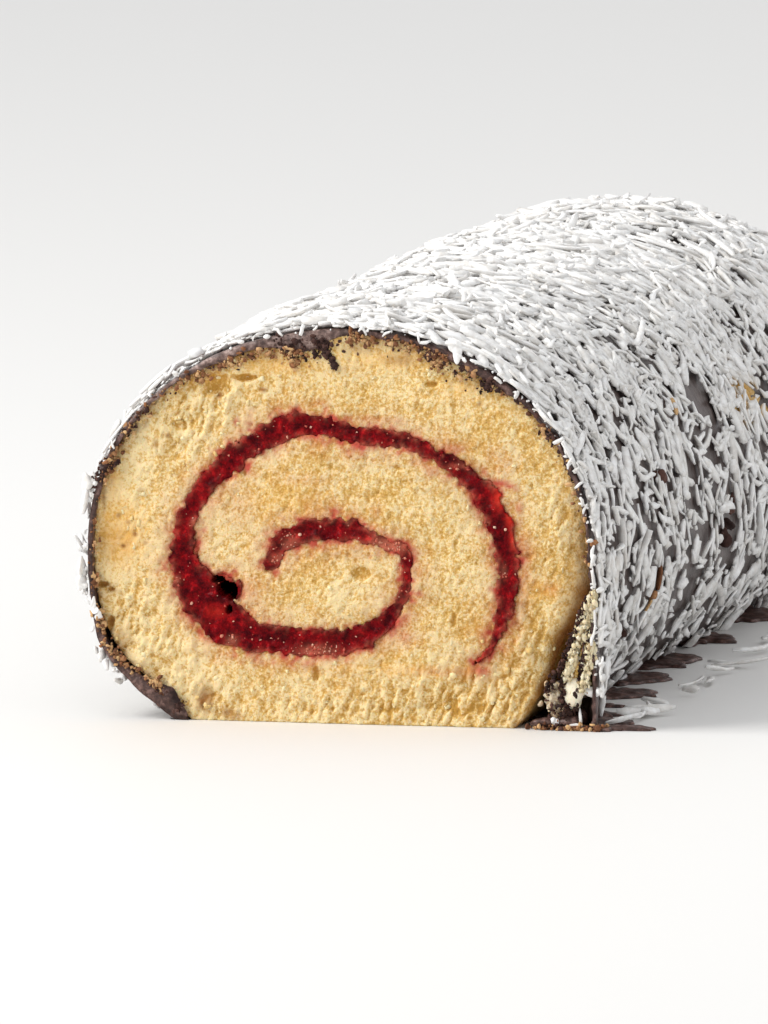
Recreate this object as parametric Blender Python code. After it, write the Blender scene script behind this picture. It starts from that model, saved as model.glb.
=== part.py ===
"""A lamington roll: vanilla sponge rolled round red jam, then coated in chocolate and shredded coconut.

The roll lies along +Y on its flat base. Its near end is cut, so the jam's spiral shows there and looks
along -Y. Its far end is rounded and coated like the sides. Sizes are in metres and +Z is up.

Run it with: blender --background --python part.py
"""

import random

import bmesh
import bpy
import numpy as np

MM = 0.001

# The roll's outside, coat included
LENGTH = 270 * MM
HALF_WIDTH = 50 * MM
CORE_HEIGHT = 31 * MM  # the height at which the roll is widest
TOP_RISE = 45 * MM  # from that height to the top
DROP_LEFT = 38 * MM  # below it, how far the section would reach if the base didn't cut it off
DROP_RIGHT = 45 * MM
LEFT_FULLNESS = 1.4 * MM  # the left shoulder and hip are a little squarer than an ellipse
LUMP_HEIGHT = 0.8 * MM
LUMP_WAVE = 110 * MM
LUMP_WAVES = ((0.5, 2, 1.0), (0.3, 3, -1.7), (0.2, 5, 1.0))  # share of the height, waves round, speed along
END_ROUND = 14 * MM
GIRTH_RADIUS = (HALF_WIDTH + TOP_RISE) / 2

# The chocolate: an even skin with thicker places, each an angle, a spread and an extra thickness
SKIN = 1.0 * MM
THICK_PLACES = ((55, 15, 1.2), (94, 8, 2.9), (117, 11, 0.8), (182, 13, 0.8), (222, 13, 1.9))
END_SKIN = 2.0 * MM
GAP = 0.3 * MM  # kept between neighbouring pieces

# Near the cut the coat has come away at the lower right and stands upright, with torn sponge behind it
SKIRT_LENGTH = 30 * MM
TORN_LENGTH = 15 * MM
TORN_LOW = 6 * MM
TORN_HIGH = 18 * MM
TORN_SHARE = 0.52  # how much of the opening the torn strip fills

# The jam's spiral at the cut: x, height and thickness in millimetres, from the inner end outwards
JAM_PATH = (
    (-14.4, 30.1, 2.0),
    (-9.6, 35.9, 4.2),
    (-0.5, 37.3, 4.2),
    (8.5, 34.3, 2.4),
    (12.9, 30.4, 2.2),
    (10.9, 23.0, 2.4),
    (3.5, 16.3, 4.2),
    (-7.5, 15.5, 5.2),
    (-18.5, 17.0, 6.4),
    (-26.0, 22.6, 9.2),
    (-31.0, 31.0, 5.2),
    (-28.4, 42.4, 3.8),
    (-20.0, 51.3, 4.2),
    (-9.0, 57.0, 4.6),
    (3.0, 55.6, 3.6),
    (14.0, 54.0, 2.6),
    (25.0, 47.4, 3.2),
    (31.4, 36.5, 4.6),
    (32.4, 24.5, 4.2),
    (27.4, 12.8, 1.5),
)
JAM_STEPS = 4  # points on the spiral between two of the places above

# Hollows torn in the cut face: x, height, half-width, half-height and depth in millimetres
FACE_PITS = (
    (-23.6, 64.6, 3.4, 2.6, 2.2),
    (-16.8, 65.8, 1.4, 2.8, 1.8),
    (-32.0, 56.5, 3.2, 2.4, 1.6),
    (-27.0, 59.5, 2.4, 2.8, 1.4),
    (-41.5, 46.0, 2.2, 3.0, 1.4),
    (-43.0, 19.5, 2.4, 2.6, 1.6),
    (-38.0, 12.0, 3.0, 2.0, 1.6),
    (-27.5, 4.6, 2.8, 2.0, 1.4),
    (3.9, 28.9, 1.8, 1.5, 1.2),
    (17.5, 65.6, 1.2, 0.8, 1.2),
    (33.0, 5.5, 2.6, 1.8, 1.4),
    (44.0, 44.0, 1.6, 2.4, 1.2),
)
JAM_HOLLOW = (-21.7, 25.2, 1.9, 2.3, 4.0)

# Chocolate that ran out on the surface below: side, distance from the cut, reach, half-length and height
TONGUES = (
    (1, 16.0, 8.0, 6.0, 1.6),
    (1, 33.0, 11.0, 7.0, 1.9),
    (1, 52.0, 13.0, 9.0, 1.8),
    (1, 80.0, 10.0, 10.0, 1.5),
    (1, 112.0, 8.0, 12.0, 1.4),
    (1, 150.0, 9.0, 11.0, 1.5),
    (1, 192.0, 8.0, 13.0, 1.4),
    (1, 232.0, 8.0, 10.0, 1.5),
    (-1, 22.0, 5.0, 9.0, 1.4),
    (-1, 70.0, 6.0, 12.0, 1.3),
    (-1, 124.0, 5.5, 11.0, 1.5),
    (-1, 178.0, 6.0, 12.0, 1.3),
    (-1, 228.0, 5.5, 10.0, 1.4),
)
# Crumbs caught behind the loose coat: x, distance from the cut, height and radius
CRUMBS = ((46.6, 3.6, 2.6, 2.6), (43.0, 4.6, 2.2, 2.2), (46.4, 8.0, 2.2, 2.3))

# Coconut
SHREDS = 172
SHREDS_ON_END = 12
SHRED_LENGTH = (8 * MM, 15 * MM)
SHRED_WIDTH = (1.3 * MM, 1.9 * MM)
SHRED_HEIGHT = (0.6 * MM, 1.0 * MM)
SHRED_SINK = 0.45 * MM
SHRED_TILT = 0.5  # radians either side of straight round the roll
LENGTHWISE_SHARE = 0.2  # of the shreds, how many lie along the roll instead
EVEN_STEPS = (0.7549, 0.5698)  # two irrational steps that spread the shreds evenly
SHRED_SEED = 7
FOOT_MARGIN = 0.08  # radians left bare above the base on each side
EDGE_MARGIN = 1 * MM
END_SPREAD = 12 * MM  # how far in from its rim the end has shreds

OVERCUT = 5 * MM  # how far a cutter runs past what it cuts

# How finely the skins are sampled
ANGLE_COUNT = 37
SKIRT_STATIONS = 6
STRAIGHT_STATIONS = 9
ROUND_STATIONS = 4


def remove_everything():
    for old in list(bpy.data.objects):
        bpy.data.objects.remove(old, do_unlink=True)


def material(name, colour, roughness):
    """A plain Principled material in the food's own colour."""
    made = bpy.data.materials.new(name)
    made.use_nodes = True
    shader = made.node_tree.nodes["Principled BSDF"]
    shader.inputs["Base Color"].default_value = (*colour, 1.0)
    shader.inputs["Roughness"].default_value = roughness
    shader.inputs["Metallic"].default_value = 0.0
    made.diffuse_color = (*colour, 1.0)
    return made


def add_object(name, mesh, collection=None):
    made = bpy.data.objects.new(name, mesh)
    (collection or bpy.context.scene.collection).objects.link(made)
    return made


def mesh_from(work, name):
    """The finished bmesh as a mesh, with its faces turned outwards."""
    bmesh.ops.recalc_face_normals(work, faces=work.faces)
    mesh = bpy.data.meshes.new(name)
    work.to_mesh(mesh)
    work.free()
    return mesh


def loft(rings, name):
    """A closed skin through rings of points, all with the same count, and a flat face at each end."""
    work = bmesh.new()
    rows = [[work.verts.new(point) for point in ring] for ring in rings]
    count = len(rows[0])
    for near, far in zip(rows, rows[1:]):
        for i in range(count):
            j = (i + 1) % count
            work.faces.new((near[i], near[j], far[j], far[i]))
    work.faces.new(rows[0])
    work.faces.new(rows[-1])
    return mesh_from(work, name)


def half_height(angle):
    """The section's vertical half-size, which below the core blends from the left side's to the right's."""
    rightness = (1 + np.cos(angle)) / 2
    low = DROP_LEFT + (DROP_RIGHT - DROP_LEFT) * rightness
    return np.where(np.sin(angle) > 0, TOP_RISE, low)


def unevenness(angle, along):
    """How far the surface stands out: the squarer left side, and long shallow lumps from rolling by hand."""
    turn = 2 * np.pi * along / LUMP_WAVE
    square = LEFT_FULLNESS * np.sin(2 * angle) ** 2 * (1 - np.cos(angle)) / 2
    waves = sum(share * np.sin(count * angle + speed * turn) for share, count, speed in LUMP_WAVES)
    return square + LUMP_HEIGHT * waves * np.clip(np.sin(angle) + 0.5, 0, 1)


def skirt_share(angle, along):
    """1 where the loose coat stands fully upright, at the lower right by the cut, falling to 0 behind it."""
    near = np.clip(1 - along / SKIRT_LENGTH, 0, 1)
    share = near * near * (3 - 2 * near)
    return np.where((np.sin(angle) < 0) & (np.cos(angle) > 0), share, 0.0)


def surface(angle, run, depth=0.0, skirt=True):
    """A point below the roll's surface. The run follows the top from the cut, then rounds the far end."""
    bend = np.clip((run - (LENGTH - END_ROUND)) / END_ROUND, 0, np.pi / 2)
    past = np.maximum(run - (LENGTH - END_ROUND) - END_ROUND * np.pi / 2, 0)
    straight = np.minimum(run, LENGTH - END_ROUND)
    along = straight + (END_ROUND - depth) * np.sin(bend)
    along = np.where(bend > 0, along, straight)
    inset = END_ROUND * (1 - np.cos(bend)) + past + depth * np.cos(bend)
    below = np.where(np.sin(angle) > 0, inset, depth)
    lift = unevenness(angle, along) * np.cos(bend)
    share = skirt_share(angle, along) if skirt else np.zeros_like(along)
    out = np.cos(angle) + share * (1 - np.cos(angle))
    x = (HALF_WIDTH - inset + lift) * out
    z = CORE_HEIGHT + (half_height(angle) - below + lift) * np.sin(angle)
    return np.stack(np.broadcast_arrays(x, along, z), axis=-1)


def coat_thickness(angle):
    """The chocolate's thickness at an angle round the roll."""
    degrees = np.degrees(angle)
    extra = sum(most * np.exp(-(((degrees - place) / spread) ** 2)) for place, spread, most in THICK_PLACES)
    return SKIN + extra * MM


def base_angles():
    """The angles at the lower right and lower left where the roll's surface meets its base."""
    right = -np.pi / 4
    left = 5 * np.pi / 4
    for _ in range(12):
        right = -np.arcsin(CORE_HEIGHT / half_height(right))
        left = np.pi + np.arcsin(CORE_HEIGHT / half_height(left))
    return right, left


def stations():
    """Runs at which the skins are sampled: closer behind the cut, even along the roll, and round the end."""
    straight = LENGTH - END_ROUND
    behind_cut = np.linspace(0, SKIRT_LENGTH, SKIRT_STATIONS)
    along = np.linspace(SKIRT_LENGTH, straight, STRAIGHT_STATIONS)[1:]
    round_end = straight + END_ROUND * np.linspace(0, np.pi / 2, ROUND_STATIONS + 1)[1:]
    return np.concatenate([behind_cut, along, round_end])


def skin_rings(depth, below_coat=True, skirt=False):
    """Rings of points round the roll, each from the lower right over the top to the lower left.

    The depth is below the roll's surface or, below the coat, below the chocolate. Each ring is flat.
    """
    low, high = base_angles()
    angles = np.linspace(low, high, ANGLE_COUNT)
    depths = depth + (coat_thickness(angles) if below_coat else 0.0)
    rings = []
    for run in stations():
        ring = surface(angles, np.full(ANGLE_COUNT, run), depths, skirt)
        ring[:, 1] = surface(0.0, run, depth + (END_SKIN if below_coat else 0.0))[1]
        ring[[0, -1], 2] = 0.0
        rings.append(ring)
    return rings


def apply_boolean(target, operation, other, solver="EXACT"):
    """Apply a Boolean with an object or a whole collection, and remove what it used."""
    step = target.modifiers.new("step", "BOOLEAN")
    step.operation = operation
    step.solver = solver
    if isinstance(other, bpy.types.Collection):
        step.operand_type = "COLLECTION"
        step.collection = other
        used = list(other.objects)
    else:
        step.object = other
        used = [other]
    result = evaluated_mesh(target)
    target.modifiers.clear()
    target.data = result
    for old in used:
        bpy.data.objects.remove(old, do_unlink=True)


def evaluated_mesh(thing):
    bpy.context.view_layer.update()
    return bpy.data.meshes.new_from_object(thing.evaluated_get(bpy.context.evaluated_depsgraph_get()))


def new_collection(name):
    made = bpy.data.collections.new(name)
    bpy.context.scene.collection.children.link(made)
    return made


def jam_centreline():
    """The spiral's points and thicknesses, by a smooth curve through the places in JAM_PATH."""
    path = np.array(JAM_PATH)
    ends = np.concatenate([2 * path[:1] - path[1:2], path, 2 * path[-1:] - path[-2:-1]])
    before, start, stop, after = ends[:-3], ends[1:-2], ends[2:-1], ends[3:]
    share = (np.arange(JAM_STEPS) / JAM_STEPS)[None, :, None]
    curve = 0.5 * (
        2 * start[:, None]
        + (stop - before)[:, None] * share
        + (2 * before - 5 * start + 4 * stop - after)[:, None] * share**2
        + (3 * start - before - 3 * stop + after)[:, None] * share**3
    )
    return np.concatenate([curve.reshape(-1, 3), path[-1:]]) * MM


def jam_outline(widen):
    """The closed outline of the jam at the cut, widened by this much all round."""
    line = jam_centreline()
    points, thickness = line[:, :2], line[:, 2]
    heading = np.gradient(points, axis=0)
    heading /= np.linalg.norm(heading, axis=1)[:, None]
    across = np.stack([-heading[:, 1], heading[:, 0]], axis=1)
    half = (thickness / 2 + widen)[:, None]
    points = points.copy()
    points[0] -= heading[0] * widen
    points[-1] += heading[-1] * widen
    return np.concatenate([points + across * half, (points - across * half)[::-1]])


def extruded(outline, near, far, name):
    """A flat outline in X and Z, filled and extruded along Y between two distances from the cut."""
    curve = bpy.data.curves.new(name, "CURVE")
    curve.dimensions = "2D"
    curve.fill_mode = "BOTH"
    curve.extrude = (far - near) / 2
    spline = curve.splines.new("POLY")
    spline.points.add(len(outline) - 1)
    spline.points.foreach_set("co", np.insert(outline, [2, 2], (0.0, 1.0), axis=1).ravel())
    spline.use_cyclic_u = True
    holder = add_object(name, curve)
    work = bmesh.new()
    work.from_mesh(evaluated_mesh(holder))
    bpy.data.objects.remove(holder, do_unlink=True)
    bmesh.ops.remove_doubles(work, verts=work.verts, dist=0.001 * MM)
    for vert in work.verts:
        x, height, along = vert.co
        vert.co = (x, along + (near + far) / 2, height)
    return mesh_from(work, name)


def blob(centre, half_sizes, name, collection, floor=None):
    """A squashed ball, flattened where it would go below the floor."""
    work = bmesh.new()
    bmesh.ops.create_icosphere(work, subdivisions=2, radius=1.0)
    for vert in work.verts:
        vert.co = [c + h * v for c, h, v in zip(centre, half_sizes, vert.co)]
        if floor is not None:
            vert.co.z = max(vert.co.z, floor)
    return add_object(name, mesh_from(work, name), collection)


def cut_pits(target, pits, group):
    """Cut shallow rounded hollows in the face at the cut."""
    cutters = new_collection(group)
    for i, (x, height, half_wide, half_high, depth) in enumerate(pits):
        sizes = (half_wide * MM, depth * MM, half_high * MM)
        blob((x * MM, 0.0, height * MM), sizes, f"{group}_{i}", cutters)
    apply_boolean(target, "DIFFERENCE", cutters)
    bpy.data.collections.remove(cutters)


def build_sponge():
    """The rolled sponge: the section run back along the roll, with a spiral slot for the jam."""
    sponge = add_object("sponge", loft(skin_rings(GAP), "sponge"))
    slot = extruded(jam_outline(GAP), -OVERCUT, LENGTH + OVERCUT, "jam_slot")
    apply_boolean(sponge, "DIFFERENCE", add_object("jam_slot", slot))
    cut_pits(sponge, (*FACE_PITS, JAM_HOLLOW), "torn_hollow")
    sponge.data.materials.clear()
    sponge.data.materials.append(material("vanilla_sponge", (0.86, 0.68, 0.31), 0.9))
    return sponge


def build_jam():
    """The jam, which runs through the roll as one strip coiled in the sponge."""
    jam = add_object("jam", extruded(jam_outline(0.0), 0.0, LENGTH - END_SKIN - GAP, "jam"))
    cut_pits(jam, (JAM_HOLLOW,), "jam_hollow")
    jam.data.materials.clear()
    jam.data.materials.append(material("berry_jam", (0.33, 0.01, 0.02), 0.2))
    return jam


def shred(angle, run, heading, sizes, name, collection):
    """One flat strip of coconut bent over the roll and partly sunk in the chocolate."""
    length, width, height = sizes
    forward = np.array((np.cos(heading), np.sin(heading)))
    sideways = np.array((np.sin(heading), -np.cos(heading))) * width / 2
    rings = []
    for reach in (-length / 2, 0.0, length / 2):
        near, far = reach * forward - sideways, reach * forward + sideways
        corners = ((near, -height), (far, -height), (far, SHRED_SINK), (near, SHRED_SINK))
        ring = [surface(angle + step[0] / GIRTH_RADIUS, run + step[1], depth) for step, depth in corners]
        rings.append(ring)
    add_object(name, loft(rings, name), collection)


def shred_place(i, length):
    """An evenly spread angle and run for a shred's middle: on the side, and for the last ones on the end."""
    across, back = [(0.5 + i * step) % 1 for step in EVEN_STEPS]
    end_run = LENGTH - END_ROUND + END_ROUND * np.pi / 2
    if i >= SHREDS:
        return np.pi * (0.1 + 0.8 * across), end_run + length / 2 + END_SPREAD * back
    low, high = base_angles()
    margin = FOOT_MARGIN + length / 2 / GIRTH_RADIUS
    angle = low + margin + (high - low - 2 * margin) * across
    run = length / 2 + EDGE_MARGIN + (end_run - length - 2 * EDGE_MARGIN) * back
    return angle, run


def add_shreds(coat):
    """Fuse the largest shreds to the coat: most run round it, some along it, and those on its end inwards."""
    draw = random.Random(SHRED_SEED)
    group = new_collection("coconut_shreds")
    for i in range(SHREDS + SHREDS_ON_END):
        sizes = [draw.uniform(*limits) for limits in (SHRED_LENGTH, SHRED_WIDTH, SHRED_HEIGHT)]
        heading = draw.uniform(-SHRED_TILT, SHRED_TILT)
        if i >= SHREDS or draw.random() < LENGTHWISE_SHARE:
            heading += np.pi / 2
        angle, run = shred_place(i, sizes[0])
        shred(angle, run, heading, sizes, f"shred_{i}", group)
    apply_boolean(coat, "UNION", group, "MANIFOLD")
    bpy.data.collections.remove(group)


def coat_cavity():
    """What the coat is hollowed by: its inner skin, carried out through the cut and the base."""
    rings = skin_rings(0.0, skirt=True)
    before = rings[0].copy()
    before[:, 1] = -OVERCUT
    deeper = []
    for ring in (before, *rings):
        corners = ring[[0, -1]]
        corners[:, 2] = -OVERCUT
        deeper.append(np.concatenate([corners[:1], ring, corners[1:]]))
    return loft(deeper, "coat_cavity")


def build_coat():
    """The chocolate: a shell open at the cut and the base, with its run-out tongues, crumbs and coconut."""
    coat = add_object("chocolate_coat", loft(skin_rings(0.0, below_coat=False, skirt=True), "chocolate_coat"))
    tongues = new_collection("tongues")
    for i, (side, along, reach, half_long, height) in enumerate(TONGUES):
        foot = surface(base_angles()[0 if side > 0 else 1], along * MM)
        half_sizes = (reach * MM, half_long * MM, height * MM)
        blob((foot[0], along * MM, 0.0), half_sizes, f"tongue_{i}", tongues, 0.0)
    apply_boolean(coat, "UNION", tongues, "MANIFOLD")
    bpy.data.collections.remove(tongues)
    apply_boolean(coat, "DIFFERENCE", add_object("coat_cavity", coat_cavity()), "MANIFOLD")
    crumbs = new_collection("caught_crumbs")
    for i, (x, along, height, radius) in enumerate(CRUMBS):
        blob((x * MM, along * MM, height * MM), (radius * MM,) * 3, f"crumb_{i}", crumbs, 0.0)
    apply_boolean(coat, "UNION", crumbs, "MANIFOLD")
    bpy.data.collections.remove(crumbs)
    add_shreds(coat)
    coat.data.materials.clear()
    coat.data.materials.append(material("chocolate_and_coconut", (0.55, 0.50, 0.47), 0.6))
    return coat


def build_torn_skin():
    """The strip of sponge torn off behind the loose coat, widest at its foot and fading out backwards."""
    rings = []
    for share in np.linspace(0, 1, 4):
        run = TORN_LENGTH * share
        heights = np.linspace(TORN_LOW + (TORN_HIGH - TORN_LOW) * 0.3 * share, TORN_HIGH, 5)
        angle = np.arcsin((heights - CORE_HEIGHT) / DROP_RIGHT)
        inner = surface(angle, np.full(5, run), SKIN + 2 * GAP, False)
        outer = surface(angle, np.full(5, run), SKIN + 2 * GAP, True)
        width = (outer[:, 0] - inner[:, 0]) * TORN_SHARE
        outer[:, 2] = inner[:, 2] = heights
        back = outer.copy()
        back[:, 0] -= width
        rings.append(np.concatenate([outer, back[::-1]]))
    torn = add_object("torn_skin", loft(rings, "torn_skin"))
    torn.data.materials.append(material("torn_sponge", (0.80, 0.62, 0.32), 0.9))
    return torn


def centre_on_base(objects):
    """Move everything so that the origin is the middle of the bounding box's bottom."""
    corners = np.concatenate([np.array([v.co for v in piece.data.vertices]) for piece in objects])
    low, high = corners.min(axis=0), corners.max(axis=0)
    for piece in objects:
        piece.location = (-(low[0] + high[0]) / 2, -(low[1] + high[1]) / 2, -low[2])
    print("moved by", [round(float(v), 6) for v in objects[0].location])


def main():
    remove_everything()
    pieces = [build_sponge(), build_jam(), build_coat(), build_torn_skin()]
    centre_on_base(pieces)
    for piece in pieces:
        print(piece.name, sum(len(face.vertices) - 2 for face in piece.data.polygons), "triangles")


main()
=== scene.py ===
# %% [markdown]
# # A lamington roll
#
# A lamington roll is a Swiss roll in a lamington's coat: vanilla sponge rolled up round red jam,
# covered with thin chocolate icing and shredded coconut. One end has been cut, so the jam's spiral
# shows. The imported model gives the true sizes, and this script gives every food its real surface.

import bmesh
import bpy
import numpy as np
from mathutils import Matrix, Vector


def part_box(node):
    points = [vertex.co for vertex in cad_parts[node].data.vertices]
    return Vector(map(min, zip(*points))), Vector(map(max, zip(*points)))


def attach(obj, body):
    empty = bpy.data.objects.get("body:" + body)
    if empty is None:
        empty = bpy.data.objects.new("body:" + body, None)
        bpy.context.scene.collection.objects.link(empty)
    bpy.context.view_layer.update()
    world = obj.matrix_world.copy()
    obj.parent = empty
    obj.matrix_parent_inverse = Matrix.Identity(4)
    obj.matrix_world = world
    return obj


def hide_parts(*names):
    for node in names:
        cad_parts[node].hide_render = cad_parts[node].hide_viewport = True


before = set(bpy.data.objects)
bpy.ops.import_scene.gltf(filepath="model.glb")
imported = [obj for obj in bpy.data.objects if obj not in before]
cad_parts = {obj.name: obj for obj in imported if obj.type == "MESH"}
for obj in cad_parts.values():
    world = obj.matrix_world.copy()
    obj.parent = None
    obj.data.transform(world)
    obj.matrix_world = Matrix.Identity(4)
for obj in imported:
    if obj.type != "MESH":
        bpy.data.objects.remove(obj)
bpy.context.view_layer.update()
MM = 0.001
print("nodes:", sorted(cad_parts))

# %% [markdown]
# ## The camera
#
# The photo was taken with a long lens from almost level with the cake: its far part looks hardly
# smaller than its near part. So the camera stands far away and looks through a narrow lens. It is
# placed by one point that is easy to find in both worlds, the middle of the cut's foot, and by the
# size of a pixel there.

# %% Place the camera
PHOTO_WIDTH, PHOTO_HEIGHT = 768, 1024
FOOT_PIXEL = (341, 724)
METRES_PER_PIXEL = 0.191 * MM
CAMERA_AZIMUTH = np.radians(13.0)
CAMERA_ELEVATION = np.radians(6.3)
CAMERA_DISTANCE = 4.0
SENSOR = 36.0  # millimetres, as the lens is

backwards = Vector((
    np.sin(CAMERA_AZIMUTH) * np.cos(CAMERA_ELEVATION),
    -np.cos(CAMERA_AZIMUTH) * np.cos(CAMERA_ELEVATION),
    np.sin(CAMERA_ELEVATION),
))
rightwards = Vector((np.cos(CAMERA_AZIMUTH), np.sin(CAMERA_AZIMUTH), 0.0))
upwards = backwards.cross(rightwards)
cut_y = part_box("sponge")[0][1]
foot = Vector((0.0, cut_y, 0.0))
middle = foot + rightwards * (PHOTO_WIDTH / 2 - FOOT_PIXEL[0]) * METRES_PER_PIXEL
middle += upwards * (FOOT_PIXEL[1] - PHOTO_HEIGHT / 2) * METRES_PER_PIXEL
camera_data = bpy.data.cameras.new("camera")
camera_data.sensor_width = SENSOR
camera_data.lens = SENSOR * CAMERA_DISTANCE / (PHOTO_HEIGHT * METRES_PER_PIXEL)
camera_data.clip_end = 20.0
camera = bpy.data.objects.new("camera", camera_data)
camera.matrix_world = (
    Matrix.Translation(middle + backwards * CAMERA_DISTANCE)
    @ Matrix((rightwards, upwards, backwards)).transposed().to_4x4()
)
bpy.context.scene.collection.objects.link(camera)
bpy.context.scene.camera = camera
print("lens", round(camera_data.lens, 1), "mm")

# %% [markdown]
# ## Building blocks
#
# Every surface below is worked out as whole arrays of points, so one helper turns arrays of points
# and corners into a Blender mesh. Bread, jam and chocolate are all uneven, so a second set of helpers
# makes repeatable noise: numbers that look random but are the same on each run.

# %% Turn arrays into a mesh
def new_mesh(name, points, *face_sets):
    """A mesh from an array of points and arrays of faces, each row a face's corner numbers."""
    mesh = bpy.data.meshes.new(name)
    mesh.vertices.add(len(points))
    mesh.vertices.foreach_set("co", np.ascontiguousarray(points, np.float32).ravel())
    corners = np.concatenate([faces.ravel() for faces in face_sets])
    sizes = np.concatenate([np.full(len(faces), faces.shape[1]) for faces in face_sets])
    mesh.loops.add(len(corners))
    mesh.loops.foreach_set("vertex_index", corners.astype(np.int32))
    mesh.polygons.add(len(sizes))
    mesh.polygons.foreach_set("loop_start", (np.cumsum(sizes) - sizes).astype(np.int32))
    mesh.update(calc_edges=True)
    return mesh


def add_piece(mesh, material, smooth=True):
    """The finished mesh as an object at the origin, riding on the cake's one body."""
    if smooth:
        mesh.shade_smooth()
    mesh.materials.append(material)
    piece = bpy.data.objects.new(mesh.name, mesh)
    bpy.context.scene.collection.objects.link(piece)
    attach(piece, "root")
    print(mesh.name, sum_of_triangles(mesh), "triangles")
    return piece


def sum_of_triangles(mesh):
    """A face of n corners is n - 2 triangles."""
    return len(mesh.loops) - 2 * len(mesh.polygons)


def give_attribute(mesh, name, values):
    """One number for each point of the mesh, which its material reads by this name."""
    layer = mesh.attributes.new(name, "FLOAT", "POINT")
    layer.data.foreach_set("value", np.ascontiguousarray(values, np.float32))


# %% Repeatable noise
def lattice(i, j, seed):
    """A number from 0 to 1 for each whole-numbered place: the fraction of a large multiple of a sine."""
    wave = np.sin(i * 127.1 + j * 311.7 + seed * 74.7) * 43758.5453
    return wave - np.floor(wave)


def smooth_noise(u, v, seed):
    """Lattice numbers blended across each unit square by the S-curve 3t^2 - 2t^3, from -1 to 1."""
    i, j = np.floor(u), np.floor(v)
    s, t = u - i, v - j
    s, t = s * s * (3 - 2 * s), t * t * (3 - 2 * t)
    low = lattice(i, j, seed) * (1 - s) + lattice(i + 1, j, seed) * s
    high = lattice(i, j + 1, seed) * (1 - s) + lattice(i + 1, j + 1, seed) * s
    return 2 * (low * (1 - t) + high * t) - 1


def rough_noise(u, v, size, octaves, seed):
    """Smooth noise of this size plus ever finer noise of half the size and half the height."""
    total = sum(smooth_noise(u / size * 2**k, v / size * 2**k, seed + k) / 2**k for k in range(octaves))
    return total / (2 - 0.5 ** (octaves - 1))


def nearest_pit(u, v, size, seed):
    """Distance to the nearest of one random point per square, and that point's own random number."""
    best = np.full(np.shape(u), 9.0)
    label = np.zeros(np.shape(u))
    i, j = np.floor(u / size), np.floor(v / size)
    for di in (-1, 0, 1):
        for dj in (-1, 0, 1):
            a, b = i + di, j + dj
            pu, pv = a + lattice(a, b, seed), b + lattice(a, b, seed + 1)
            away = np.hypot(u / size - pu, v / size - pv)
            label = np.where(away < best, lattice(a, b, seed + 2), label)
            best = np.minimum(away, best)
    return best * size, label


print("noise at (0.3, 0.7):", round(float(smooth_noise(0.3, 0.7, 1)), 4))

# %% [markdown]
# ## The shape of the roll
#
# A rolled cake sags on its base, so its section is an ellipse that is deeper above its widest height
# than below and cut off flat by the floor. The surface is a function of two numbers: the angle round
# the core and the run, a distance measured from the cut along the top and then down over the rounded
# far end. A depth moves the point inwards. The same few sizes shaped the CAD solids. A subdivided
# cage could have this shape too, but a formula lets every later piece ask where the skin is.

# %% The roll's surface as a function of angle and run
LENGTH = 270 * MM
HALF_WIDTH = 50 * MM
CORE_HEIGHT = 31 * MM
TOP_RISE = 45 * MM
DROP_LEFT = 38 * MM
DROP_RIGHT = 45 * MM
LEFT_FULLNESS = 1.4 * MM
LUMP_HEIGHT = 0.8 * MM
LUMP_WAVE = 110 * MM
LUMP_WAVES = ((0.5, 2, 1.0), (0.3, 3, -1.7), (0.2, 5, 1.0))  # share, waves round, and speed along
END_ROUND = 14 * MM
END_SKIN = 2 * MM
SKIRT_LENGTH = 30 * MM
GIRTH_RADIUS = (HALF_WIDTH + TOP_RISE) / 2
SKIN = 1.0 * MM
THICK_PLACES = (  # angle and half-width in degrees, and extra thickness in millimetres
    (60, 10, 1.0),
    (99, 7, 2.8),
    (117, 11, 0.7),
    (182, 13, 0.2),
    (223, 12, 1.9),
    (10, 42, -0.55),
)
BULGES = ((206, 12, 1.4), (12, 22, -1.1))  # angle, half-width and height in the same units


def half_height(angle):
    """The half-size up from the core, and down from it a blend of left and right by the cosine."""
    low = DROP_LEFT + (DROP_RIGHT - DROP_LEFT) * (1 + np.cos(angle)) / 2
    return np.where(np.sin(angle) > 0, TOP_RISE, low)


def bells_round(angle, places):
    """The sum of bell curves round the section, each with an angle and a half-width in degrees."""
    degrees = np.degrees(angle)
    return sum(high * np.exp(-(((degrees - at) / wide) ** 2)) for at, wide, high in places)


def unevenness(angle, along):
    """A squarer left side, three waves that turn slowly along the roll, and two bulges round it."""
    turn = 2 * np.pi * along / LUMP_WAVE
    square = LEFT_FULLNESS * np.sin(2 * angle) ** 2 * (1 - np.cos(angle)) / 2
    waves = sum(share * np.sin(count * angle + speed * turn) for share, count, speed in LUMP_WAVES)
    waves = LUMP_HEIGHT * waves * np.clip(np.sin(angle) + 0.5, 0, 1)
    return square + waves + MM * bells_round(angle, BULGES)


def skirt_share(angle, along):
    """1 at the cut's lower right, where the loose coat hangs upright, and an S-curve to 0 behind."""
    near = np.clip(1 - along / SKIRT_LENGTH, 0, 1)
    share = near * near * (3 - 2 * near)
    return np.where((np.sin(angle) < 0) & (np.cos(angle) > 0), share, 0.0)


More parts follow.
